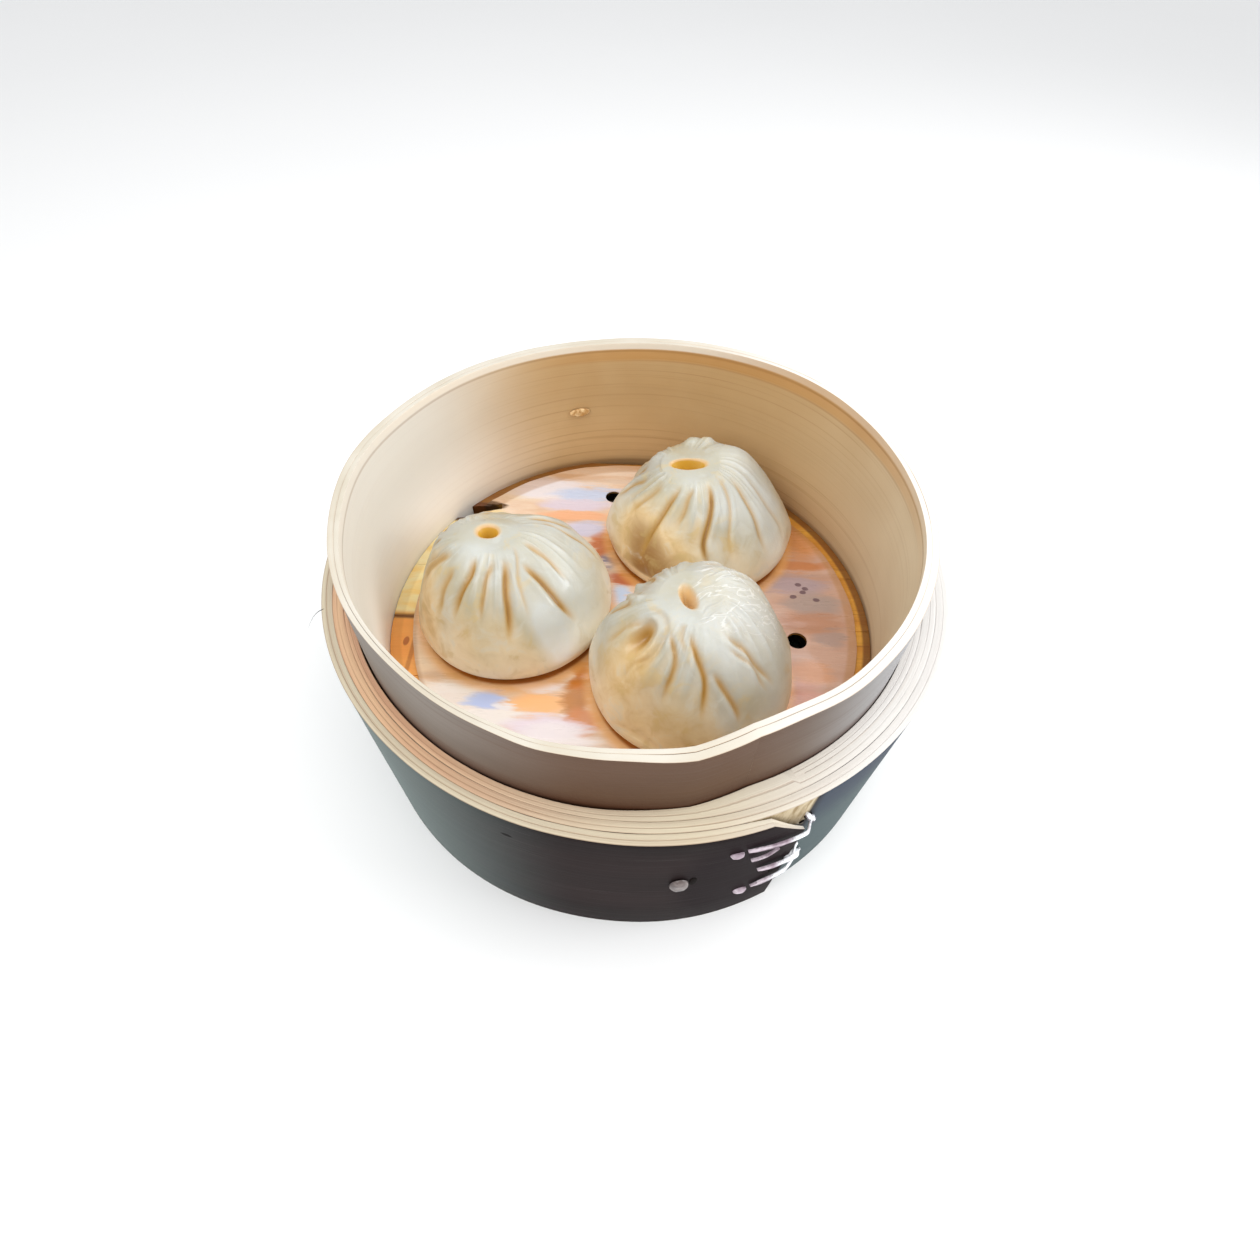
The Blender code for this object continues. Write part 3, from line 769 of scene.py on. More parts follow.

# %% [markdown]
# Inside, the strip shows its long straight grain, fine lines that run round the wall. On the left the
# wall is painted nearly white, lighter still low down and with fainter grain, for the light that falls
# there. At the back it is tan with brown lines of grain, the tan partly stain and partly painted shade,
# and lighter low down. Steam has left a golden band just under the rim at the back and right. Above the
# band the top of the wall is painted paler, most at the back, with a thin brown line under it, and a
# painted shadow line darkens the foot of the wall, fainter on the left.

# %% Finish: inside wall
def inside_wall():
    """Bare bamboo with long fine grain, stained golden under the rim."""
    finish = Finish("inside_wall", {"Specular IOR Level": 0.35})
    along, _, up = finish.split(finish.layer("strip", "Vector"))
    long_grain = finish.grain(finish.join(along * 5.0, up * 700.0, 1.0), 1.0, 5.0, 0.62)
    fine_grain = finish.grain(finish.join(along * 12.0, up * 3000.0, 2.0), 1.0, 2.0, 0.5)
    cloud = finish.grain(finish.place, 38.0, 3.0, 0.5, 0.4)
    back = finish.back.step(-0.010, 0.062) * finish.side.step(-0.066, -0.018)
    right = finish.side.step(0.012, 0.060)
    left = finish.side.step(-0.025, -0.058)
    finish.ground(cloud.step(0.3, 0.7), "E4D3B6", "D9C4A4")
    # Painted light: the left wall is painted nearly white, lighter still low down, where the light
    # falls.
    finish.paint(left * 0.94, finish.mix(finish.z.step(0.060, 0.036), "DAD7CE", "FFFEFA"))
    finish.paint(right * 0.80, finish.mix(cloud, "DCCCAE", "CCB898"))
    # The tan at the back is partly stain and partly painted shade.
    tan_and_shade = finish.mix(finish.z.step(0.060, 0.040), "BC965E", "D0AA72")
    finish.paint(back * 0.80, finish.mix(cloud * 0.6, tan_and_shade, "AC8248"))
    line = long_grain.step(0.52, 0.72) * (0.12 + back * 0.42) * (1.0 - left * 0.7)
    finish.paint(line, "8F6230")
    finish.paint(fine_grain.step(0.55, 0.8) * (0.16 - left * 0.12), "A67C4C")
    drift = finish.grain(finish.join(along * 18.0, up * 30.0, 4.0), 1.0, 2.0) * 0.0022
    band = (finish.z + drift).step(RIM_TOP - 0.0052, RIM_TOP - 0.0036)
    band_edge = abs(finish.z + drift - (RIM_TOP - 0.0048)).step(0.0007, 0.0001)
    band_edge = band_edge * finish.z.step(RIM_TOP - 0.0062, RIM_TOP - 0.0053)
    stained = finish.back.step(-0.030, 0.030) * finish.side.step(-0.040, 0.000)
    finish.paint(band * stained * 0.45, finish.mix(cloud, "CB8F3C", "B87C30"))
    finish.paint(band_edge * stained * 0.40, "8A5A2A")
    lip = (finish.z + drift * 0.2).step(RIM_TOP - 0.0021, RIM_TOP - 0.0015)
    behind = finish.back.step(0.005, 0.040) * finish.side.step(0.050, 0.010)
    finish.paint(lip * (0.35 + behind * 0.6), "E4DACA")
    under_lip = abs(finish.z + drift * 0.2 - (RIM_TOP - 0.0023)).step(0.0005, 0.0001)
    finish.paint(under_lip * 0.35, "8A6238")
    # Painted shadow line along the foot of the wall, where it meets the floor, fainter on the left.
    foot = finish.z.step(SLAT_TOP + 0.0020, SLAT_TOP + 0.0002)
    finish.paint(foot * 0.55 * (1.0 - left * 0.8), "7A4A20")
    finish.set("Roughness", 0.52 + long_grain * 0.18)
    finish.bump(long_grain * 0.7 + fine_grain * 0.3, 0.0002, 0.45)
    return finish.done()


INSIDE = inside_wall()

# %% [markdown]
# Outside, the upper part of the inner hoop is grey-brown. It is browner in the middle, partly its own
# colour and partly painted shade on this face turned from the light, palest on the right, and darkest
# where it enters the outer hoop, where the shadow is painted.

# %% Finish: outside wall and rim of the inner hoop
def outside_wall():
    """Grey-brown bamboo, browner in the middle, with a painted shadow where it enters the outer hoop."""
    finish = Finish("outside_wall", {"Specular IOR Level": 0.35, "Roughness": 0.55})
    along, _, up = finish.split(finish.layer("strip", "Vector"))
    grain = finish.grain(finish.join(along * 6.0, up * 800.0, 8.0), 1.0, 4.0, 0.6)
    cloud = finish.grain(finish.join(along * 20.0, up * 60.0, 9.0), 1.0, 3.0)
    middle = abs(finish.side - 0.006).step(0.048, 0.012)
    finish.ground(cloud.step(0.3, 0.7), "7C746C", "6C645C")
    # Browner in the middle: partly the wood's own colour, partly painted shade on the face turned from
    # the light.
    finish.paint(middle * 0.90, finish.mix(cloud, "5C3A1C", "482A14"))
    finish.paint(finish.side.step(0.030, 0.058) * 0.85, "A0A0A2")
    finish.paint(grain.step(0.5, 0.75) * 0.45, "5A4030")
    # Painted shadow where the inner hoop enters the outer one.
    entry_shadow = finish.z.step(OUTER_TOP + 0.0050, OUTER_TOP - 0.0005)
    finish.paint(entry_shadow * 0.7, "4A2A18")
    finish.bump(grain, 0.0002, 0.5)
    return finish.done()


def pale_rim():
    """Cream wood of the rim, with fibres along it and a brown line at its outer face."""
    finish = Finish("pale_rim", {"Specular IOR Level": 0.35, "Roughness": 0.55})
    along, across, up = finish.split(finish.layer("strip", "Vector"))
    depth = across / INNER_STRIP
    fibre = finish.grain(finish.join(along * 25.0, depth * 5.0, up * 1500.0), 1.0, 4.0, 0.6)
    cloud = finish.grain(finish.place, 60.0)
    right = finish.side.step(0.000, 0.055)
    finish.ground(cloud.step(0.3, 0.7), "CEC8BB", "C3BAA8")
    # Painted reflection: on the right the rim is painted paler, where light and sky reflect.
    finish.paint(right * 0.7, "EAE6E0")
    finish.paint(fibre.step(0.55, 0.8) * 0.3, "C9A87E")
    finish.paint(depth.step(0.85, 1.0) * 0.5, "A87E52")
    finish.bump(fibre, 0.00015, 0.5)
    return finish.done()


wind_inner_hoop(INSIDE, outside_wall(), pale_rim())

# %% [markdown]
# ## Floor
#
# Seven golden slats lie side by side. Their ends are sawn to the round of the hoop. A slat is a blank
# whose length is counted from -1 to 1, so one step can stretch every vertex to the round: the half
# length of the floor at that distance from the middle. The missing wedge and the steam holes are cut
# with the Boolean modifier, which is applied at once so that no cutter stays in the scene.

# %% Cutting tools
FLOOR_RADIUS = 0.0643
STEAM_HOLES = ((0.0449, -0.0089), (-0.0074, 0.0468))
STEAM_HOLE_RADIUS = 0.0027


def cut_away(bm, cutter_bm):
    """Subtract one closed mesh from another and return the result."""
    for part in (bm, cutter_bm):
        face_outwards(part)
    meshes = [keep_mesh(part, "cutting") for part in (bm, cutter_bm)]
    body, cutter = [put_in_scene("cutting", mesh) for mesh in meshes]
    modifier = body.modifiers.new("cut", "BOOLEAN")
    modifier.operation = "DIFFERENCE"
    modifier.solver = "EXACT"
    modifier.object = cutter
    bpy.context.view_layer.update()
    result = bmesh.new()
    result.from_object(body, bpy.context.evaluated_depsgraph_get())
    for item in (body, cutter):
        bpy.data.objects.remove(item, do_unlink=True)
    for mesh in meshes:
        bpy.data.meshes.remove(mesh)
    return result


def drill(bm, hole):
    """Drill one steam hole down through a mesh and return the result."""
    cylinder = bmesh.new()
    place = AXIS + Vector((*hole, RIM_TOP / 2))
    bmesh.ops.create_cone(
        cylinder, cap_ends=True, segments=40, radius1=STEAM_HOLE_RADIUS, radius2=STEAM_HOLE_RADIUS,
        depth=RIM_TOP, matrix=Matrix.Translation(place),
    )
    return cut_away(bm, cylinder)


print(f"drill for {len(STEAM_HOLES)} steam holes, {2 * STEAM_HOLE_RADIUS / MM:.1f} mm wide")

# %% [markdown]
# Bamboo grows in joints, and a slat that crosses a joint swells into a knobbly ridge. Three low swells
# show at the left end of the floor, where the liner leaves the slats bare. The wedge that is missing
# at the back left follows the grain, so it tapers and has ragged sides.

# %% Slats
SLAT_COUNT = 7
SLAT_EASE = 0.00010
SLAT_CLEARANCE = 0.0002
SLAT_GAP = 0.0014
SEAM_GAP = 0.00012
SLAT_LOOPS = 10
WEDGE_PLACE = (-0.0520, 0.0385)
WEDGE_LENGTH = 0.0190
WEDGE_WIDTH = 0.0046
WEDGE_TURN = 12.0
KNOTS = (
    # (x, y, spread, amount), all in metres
    (-0.0625, 0.0065, 0.0026, 0.000225),
    (-0.0612, 0.0000, 0.0020, 0.000175),
    (-0.0608, -0.0130, 0.0016, 0.000125),
)


def half_floor(away, side):
    """Return the floor's half length at this distance from the middle, out to the wall."""
    half = FLOOR_RADIUS
    for _ in range(3):
        angle = math.degrees(math.atan2(away, math.copysign(half, side)))
        wall = inner_radius(inner_share(angle), 0.0, SLAT_TOP) - SLAT_CLEARANCE
        half = math.sqrt(max(0.0, wall ** 2 - away ** 2))
    return half


def saw_slat(index):
    """Return one slat, its ends sawn round and its top a little uneven."""
    low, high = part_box(f"slat_{index}")
    closer = (SLAT_GAP - SEAM_GAP) / 2
    low.y = AXIS.y - FLOOR_RADIUS if index == 1 else low.y - closer
    high.y = AXIS.y + FLOOR_RADIUS if index == SLAT_COUNT else high.y + closer
    bm = eased_blank((-1.0, low.y, low.z), (1.0, high.y, high.z), SLAT_EASE)
    for loop in range(1, SLAT_LOOPS):
        place = low.y + (high.y - low.y) * loop / SLAT_LOOPS
        slice_blank(bm, Vector((0.0, place, 0.0)), Vector((0.0, 1.0, 0.0)))
    cut_lengths(bm, 119)
    for vert in bm.verts:
        vert.co.x = AXIS.x + vert.co.x * half_floor(vert.co.y - AXIS.y, vert.co.x)
        if vert.co.z > (low.z + high.z) / 2:
            ripple = noise.noise(Vector((vert.co.x * 60.0, vert.co.y * 400.0, index)))
            vert.co.z += min(0.0, 0.00012 * ripple - 0.00008)
            for x, y, spread, amount in KNOTS:
                gap = (vert.co - AXIS - Vector((x, y, vert.co.z))).length
                vert.co.z += amount * math.exp(-((gap / spread) ** 2))
    return bm


def ragged_wedge():
    """Return the wedge that is missing from the slat beside the back wall."""
    bm = bmesh.new()
    bmesh.ops.create_cube(bm, size=1.0)
    cut_lengths(bm, 15)
    turn = math.radians(WEDGE_TURN)
    for vert in bm.verts:
        share = vert.co.x + 0.5
        taper = 1.0 - 0.55 * rise((share - 0.45) / 0.55)
        ragged = 0.0005 * noise.noise(Vector((vert.co.x * 9.0, vert.co.y * 5.0, 0.0)))
        x = vert.co.x * WEDGE_LENGTH
        y = vert.co.y * WEDGE_WIDTH * taper + ragged
        vert.co.x = AXIS.x + WEDGE_PLACE[0] + x * math.cos(turn) - y * math.sin(turn)
        vert.co.y = AXIS.y + WEDGE_PLACE[1] + x * math.sin(turn) + y * math.cos(turn)
        vert.co.z = 0.5 * RIM_TOP + vert.co.z * RIM_TOP
    return bm


def lay_floor(finish):
    """Saw the seven slats and cut the steam holes and the wedge where they fall."""
    for index in range(1, SLAT_COUNT + 1):
        low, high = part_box(f"slat_{index}")
        bm = saw_slat(index)
        for hole in STEAM_HOLES:
            if low.y - STEAM_HOLE_RADIUS < hole[1] + AXIS.y < high.y + STEAM_HOLE_RADIUS:
                bm = drill(bm, hole)
        if low.y < WEDGE_PLACE[1] + AXIS.y < high.y:
            bm = cut_away(bm, ragged_wedge())
        set_down(bm, f"floor_slat_{index}", (finish,), (f"slat_{index}",))


print(f"{SLAT_COUNT} slats to saw")

# %% [markdown]
# Steam and soup have turned the slats golden, with brown grain along them, and a painted shadow line
# darkens their ends along the foot of the wall. At the left, where no paper covers them, they are pale
# yellow behind a seam and orange in front of it, both painted brighter for the light that falls there.
# The oval knot there belongs to the joint of the cane, and the upright line is the painted shadow of the
# liner's edge. The walls of the steam holes are painted black and the sides of the missing wedge dark,
# as painted shade.

# %% Finish: golden slats
def golden_slat():
    """Golden bamboo with brown grain along X and a painted shadow line at the sawn ends, by the wall."""
    finish = Finish("golden_slat", {"Specular IOR Level": 0.5, "Coat Roughness": 0.2})
    drawn = finish.join(finish.x * 40.0, finish.y * 1300.0, finish.z * 600.0)
    grain = finish.grain(drawn, 1.0, 4.0, 0.6)
    cloud = finish.grain(finish.join(finish.x * 60.0, finish.y * 160.0, 0.0), 1.0, 3.0, 0.5, 0.5)
    away = finish.distance(finish.side, finish.back)
    finish.ground(cloud.step(0.3, 0.7), "E2A640", "CE8A30")
    finish.paint(grain.step(0.5, 0.8) * 0.55, "8A4E14")
    left = finish.side.step(-0.050, -0.058)
    # The yellow and orange are the slats' own, painted brighter for the light that falls on them.
    yellow = left * finish.back.step(-0.004, -0.002)
    finish.paint(yellow * 0.96, finish.mix(cloud.step(0.35, 0.65), "FFF2BC", "FFDC88"))
    orange = left * finish.back.step(-0.003, -0.006)
    finish.paint(orange * 0.85, finish.mix(cloud, "FFB862", "FFA246"))
    knot = finish.spot(finish.side, finish.back, (-61.0, -13.0), (0.8, 1.5), 0.4)
    # The upright line is the painted shadow of the liner's edge.
    liner_edge_shadow = abs(finish.side + 0.0588).step(0.0009, 0.0003) * left
    liner_edge_shadow = liner_edge_shadow * finish.back.step(-0.003, -0.005)
    finish.paint(knot * 0.8, "A8500E")
    finish.paint(liner_edge_shadow * 0.6, "A86016")
    # Painted shade: the walls of the steam holes are painted black.
    inside = finish.z.step(SLAT_TOP + 0.0001, SLAT_TOP - 0.0002)
    for hole in STEAM_HOLES:
        centre = (hole[0] / MM, hole[1] / MM)
        ring = finish.spot(finish.side, finish.back, centre, (3.1, 3.1), 0.05)
        finish.paint(ring * inside, "080402")
    # Painted shade: the sides of the missing wedge are dark.
    centre = (WEDGE_PLACE[0] / MM, WEDGE_PLACE[1] / MM)
    tear_shade = finish.spot(finish.side, finish.back, centre, (11.5, 4.6), 0.3)
    finish.paint(tear_shade, finish.mix(grain, "2A1808", "5C3C20"))
    seam = abs(finish.back + 0.0044).step(0.0011, 0.0003) * left
    finish.paint(seam * 0.8, "5E3A18")
    # Painted shadow line at the slat ends, along the foot of the wall, fainter on the left.
    finish.paint(away.step(0.0632, 0.0641) * 0.8 * (1.0 - left * 0.8), "6A3A12")
    finish.set("Roughness", 0.32 + grain * 0.25)
    finish.set("Coat Weight", 0.5 - cloud * 0.3)
    finish.bump(grain + cloud * 0.5, 0.0003, 0.5)
    return finish.done()


GOLD = golden_slat()
lay_floor(GOLD)

# %% [markdown]
# Two bars under the slats carry the floor. They are split cane, so their edges are rounded more than
# the slats', and their ends are sawn square.

# %% Crossbars
BAR_EASE = 0.0013
SWAP_X_AND_Y = Matrix(((0, 1, 0, 0), (1, 0, 0, 0), (0, 0, 1, 0), (0, 0, 0, 1)))


def set_crossbars(finish):
    """Make the two bars that carry the slats."""
    for side in ("left", "right"):
        low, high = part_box(f"crossbar_{side}")
        bm = eased_blank((low.y, low.x, low.z), (high.y, high.x, high.z), BAR_EASE, 4)
        cut_lengths(bm, 23)
        for vert in bm.verts:
            ripple = noise.noise(Vector((vert.co.x * 40.0, vert.co.y * 90.0, 1.0)))
            vert.co.z += min(0.0, 0.0004 * ripple)
        bmesh.ops.transform(bm, matrix=SWAP_X_AND_Y, verts=bm.verts)
        set_down(bm, f"floor_bar_{side}", (finish,), (f"crossbar_{side}",))


set_crossbars(GOLD)

# %% [markdown]
# ## Liner
#
# The liner is a thin disc of paper, soaked by steam. It follows the slats, so it dips a little at each
# seam, and its edge lifts here and there. A line of points spun round the axis makes an even disc,
# which can be shaped before it gets its thickness. The two steam holes, and the tear over the missing
# wedge, are cut last.

# %% Lay the liner
LINER_REACHES = (
    # (direction and spread in degrees, share of the radius by which it is wider there)
    (118.0, 46.0, 0.056),
    (-8.0, 38.0, 0.028),
)
LINER_RINGS = 72
LINER_THICKNESS = 0.00022
SEAM_Y = -0.0044
SLAT_PITCH = 0.0196


def lay_liner(finish):
    """Spin a disc, let it settle on the slats, thicken it and cut its holes and its tear."""
    bm = bmesh.new()
    reaches = [LINER_RADIUS * ring / LINER_RINGS for ring in range(LINER_RINGS + 1)]
    spin_round(bm, [bm.verts.new((reach, 0.0, 0.0)) for reach in reaches], (0, 0, 1), 224)
    bmesh.ops.recalc_face_normals(bm, faces=bm.faces)
    for vert in bm.verts:
        x, y = vert.co.x, vert.co.y
        reach = math.hypot(x, y)
        seam = abs((y - SEAM_Y + SLAT_PITCH / 2) % SLAT_PITCH - SLAT_PITCH / 2)
        dip = 0.00018 * math.exp(-((seam / 0.0012) ** 2))
        wave = noise.noise(Vector((x * 70.0, y * 95.0, 0.0)))
        wave += 0.5 * noise.noise(Vector((x * 190.0, y * 230.0, 4.0)))
        edge = rise((reach / LINER_RADIUS - 0.93) / 0.07)
        curl = edge * max(0.0, noise.noise(Vector((x * 45.0, y * 45.0, 8.0)))) * 0.0011
        ragged = 1.0 - edge * 0.004 * (1.0 + noise.noise(Vector((x * 160.0, y * 160.0, 2.0))))
        for place in LINER_REACHES:
            ragged += swell(math.degrees(math.atan2(y, x)), *place) * rise(reach / LINER_RADIUS)
        vert.co = AXIS + Vector((x * ragged, y * ragged, LINER_TOP - dip + 0.00010 * wave + curl))
    bmesh.ops.solidify(bm, geom=bm.faces[:], thickness=LINER_THICKNESS)
    for hole in STEAM_HOLES:
        bm = drill(bm, hole)
    bm = cut_away(bm, ragged_wedge())
    set_down(bm, "liner_paper", (finish,), ("liner",), 60.0)


print(f"liner, {2 * LINER_RADIUS / MM:.1f} mm across")

# %% [markdown]
# Wet paper is half clear. Where it clings to the slats their orange shows through. Its pale lilac, blue
# and white patches are painted glare, the bright studio reflected in the wet paper, and on the right it
# is painted a darker pink-brown, with greyer pink patches, for the shadow of the right wall. Each of
# these is a patch with its own place, and a stretched noise breaks up the edges so that they run along
# the slats as real damp does. Round each dumpling lies an orange band, part soup stain and part painted
# light, with a dark brown painted contact shadow over soup at its foot, and the torn edges over the
# missing wedge are painted dark as shade.

# %% Finish: wet liner
# White, lilac and blue patches are painted glare on the wet paper; greyer pink ones on the right are
# painted shadow; orange ones are slats showing through.
PATCHES = (
    # (colour, centre, size, strength), all in mm
    ("F3E6CC", (-40.0, 51.0), (14.0, 7.0), 0.8),
    ("EED79A", (-47.0, 33.0), (5.0, 8.0), 0.8),
    ("F6F0EC", (-36.0, -36.0), (10.0, 2.6), 0.95),
    ("FFF6EA", (-44.0, -27.5), (9.0, 2.2), 0.8),
    ("EDEAF2", (-29.0, 49.5), (12.0, 5.5), 0.9),
    ("C9D8F4", (-15.5, 47.5), (11.0, 3.2), 0.95),
    ("DCD6EC", (-19.0, 42.5), (11.0, 2.6), 0.8),
    ("F2B48A", (-19.5, 37.2), (11.5, 2.6), 0.9),
    ("CFD0EA", (-16.0, 31.5), (7.0, 3.0), 0.85),
    ("C8682A", (-10.2, 25.0), (3.4, 5.0), 0.9),
    ("6E6A86", (-7.4, 18.6), (2.4, 3.0), 0.8),
    ("C4622A", (-2.6, 11.6), (5.0, 3.0), 0.95),
    ("C4D6F0", (-5.0, 5.0), (3.6, 3.4), 0.95),
    ("F4D8B4", (-54.0, -19.0), (7.0, 5.0), 0.8),
    ("DDB488", (-46.0, -24.5), (8.0, 3.0), 0.7),
    ("F4ECE6", (-45.0, -31.0), (9.0, 4.0), 0.8),
    ("B8CAF6", (-36.0, -31.4), (5.6, 2.5), 0.95),
    ("FFC07C", (-22.5, -31.5), (7.2, 3.4), 0.9),
    ("F2EEF0", (-31.0, -32.4), (2.6, 1.8), 0.9),
    ("F6EEF0", (-24.0, -26.2), (7.0, 1.8), 0.8),
    ("C27A1C", (-13.8, -30.0), (3.6, 5.5), 0.9),
    ("D07A1C", (-12.8, -22.5), (3.0, 5.0), 0.95),
    ("DC8C50", (-11.2, -36.0), (4.6, 4.0), 0.85),
    ("EEE2F2", (-21.0, -38.5), (10.0, 3.6), 0.9),
    ("F6F0F4", (-18.0, -42.0), (9.5, 5.0), 0.85),
    ("D08A4C", (51.0, 30.0), (7.0, 7.5), 0.9),
    ("C4783C", (49.0, 19.0), (9.0, 2.4), 0.8),
    ("AE9AA0", (46.0, 11.5), (10.0, 4.0), 0.9),
    ("A4948F", (51.0, 4.0), (8.0, 4.5), 0.8),
    ("B88468", (50.0, -2.5), (9.0, 3.5), 0.85),
    ("A68E86", (54.0, -8.0), (4.5, 3.0), 0.8),
    ("D79A70", (46.5, -20.0), (7.0, 4.0), 0.8),
    ("D08E78", (42.0, -28.0), (8.0, 5.0), 0.8),
)
SPECKS = ((47.5, 11.4), (49.4, 10.0), (45.6, 6.8), (48.6, 8.6), (52.1, 5.9))


def wet_paper():
    """Half-clear wet paper: patches of damp, soup and glare, streaked along the slats."""
    finish = Finish("wet_paper", {"Specular IOR Level": 0.6, "Coat Roughness": 0.08})
    x, y = finish.side, finish.back
    streak = finish.grain(finish.join(finish.x * 55.0, finish.y * 330.0, 0.0), 1.0, 4.0, 0.6)
    ragged = finish.grain(finish.join(finish.x * 120.0, finish.y * 420.0, 5.0), 1.0, 3.0, 0.6)
    shift = (streak - 0.5) * 0.0065 + (ragged - 0.5) * 0.003
    finish.ground(streak.step(0.35, 0.65), "EFD9C4", "E2C0A2")
    # Painted shadow of the right wall: darker pink-brown on the right.
    finish.paint(x.step(0.020, 0.045) * 0.8, finish.mix(streak, "C9A08E", "B48470"))
    for colour, centre, size, strength in PATCHES:
        patch = finish.spot(x + shift * 1.5, y + shift, centre, size, 0.75)
        finish.paint(patch * strength, colour)
    for centre in SPECKS:
        speck = finish.spot(x + shift * 0.2, y + shift * 0.1, centre, (1.0, 0.7), 0.3)
        finish.paint(speck * 0.85, "5E4450")
    seam = abs((y - SEAM_Y + SLAT_PITCH * 3.5) % SLAT_PITCH - SLAT_PITCH / 2)
    away = finish.distance(x, y)
    finish.paint(seam.step(0.0014, 0.0004) * 0.12, "8A5A30")
    finish.paint(away.step(LINER_RADIUS - 0.0016, LINER_RADIUS - 0.0004) * 0.45, "B07A38")
    for node in ("dumpling_left", "dumpling_back", "dumpling_front"):
        low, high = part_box(node)
        ring = ((low.x + high.x) / 2, (low.y + high.y) / 2)
        gap = finish.distance(finish.x - ring[0], finish.y - ring[1])
        reach = (high.x - low.x) / 2
        # Round each dumpling: an orange band, part soup stain and part painted light, then a dark brown
        # line at its foot, painted contact shadow over soup.
        finish.paint(gap.step(reach + 0.0032, reach + 0.0002) * 0.68, "FFC070")
        finish.paint(gap.step(reach - 0.0002, reach - 0.0012) * 0.9, "B4620C")
    # Painted shade: the torn edges over the missing wedge are dark.
    tear_shade = finish.spot(x + shift * 0.6, y + shift * 0.35, (-49.0, 40.6), (7.6, 2.2), 0.25)
    finish.paint(tear_shade, finish.mix(ragged, "3E2614", "7E5C3C"))
    finish.set("Roughness", 0.16 + streak * 0.26)
    finish.set("Coat Weight", 0.75 - streak * 0.4)
    finish.bump(streak * 0.6 + ragged * 0.4, 0.0003, 0.45)
    return finish.done()


lay_liner(wet_paper())

# %% [markdown]
# ## Dumplings
#
# A soup dumpling is a round of thin dough, pleated up round its filling and pinched to a small open
# crown. The round body is turned from an outline, like a pot. The pleats are then pressed in: each
# crease follows a path of a few points and has a width and a depth. On one side of every crease the
# dough laps over, so that side carries a soft ridge. The creases in view are listed one by one,
# because no two pleats are alike, and the far side gets its own from a loop. Every vertex also keeps
# how deep it lies in a crease or in the crown, for the finish to read.

# %% Dumpling outline
FOOT_RATIO = 0.84
BULGE_HEIGHT = 0.17
CROWN_RATIO = 0.27
DOME_POWER = 1.55
WELL_DEPTH = 0.0042
WELL_START = 0.10
WELL_END = 1.35


def dumpling_outline(radius, height, hole):
    """Return the outline from the middle of the foot, over the side and crown, into the well."""
    points = [(radius * FOOT_RATIO * step / 6, 0.0) for step in range(6)]
    for step in range(9):
        turn = math.radians(90.0 * step / 8)
        reach = FOOT_RATIO + (1.0 - FOOT_RATIO) * math.sin(turn)
        points.append((radius * reach, height * BULGE_HEIGHT * (1.0 - math.cos(turn))))
    for step in range(1, 77):
        turn = math.radians(90.0 * step / 77)
        reach = CROWN_RATIO + (1.0 - CROWN_RATIO) * math.cos(turn) ** (2.0 / DOME_POWER)
        tall = BULGE_HEIGHT + (1.0 - BULGE_HEIGHT) * math.sin(turn) ** (2.0 / DOME_POWER)
        points.append((radius * reach, height * tall))
    crown = points[-1][0]
    for step in range(1, 41):
        reach = crown * (1.0 - step / 40)
        well = 1.0 - rise((reach / hole - WELL_START) / (WELL_END - WELL_START))
        points.append((reach, height - WELL_DEPTH * well))
    return points


def smooth(values):
    """Rise smoothly from 0 to 1, for arrays."""
    values = np.clip(values, 0.0, 1.0)
    return values * values * (3.0 - 2.0 * values)


print("outline of", len(dumpling_outline(0.026, 0.028, 0.003)), "points")
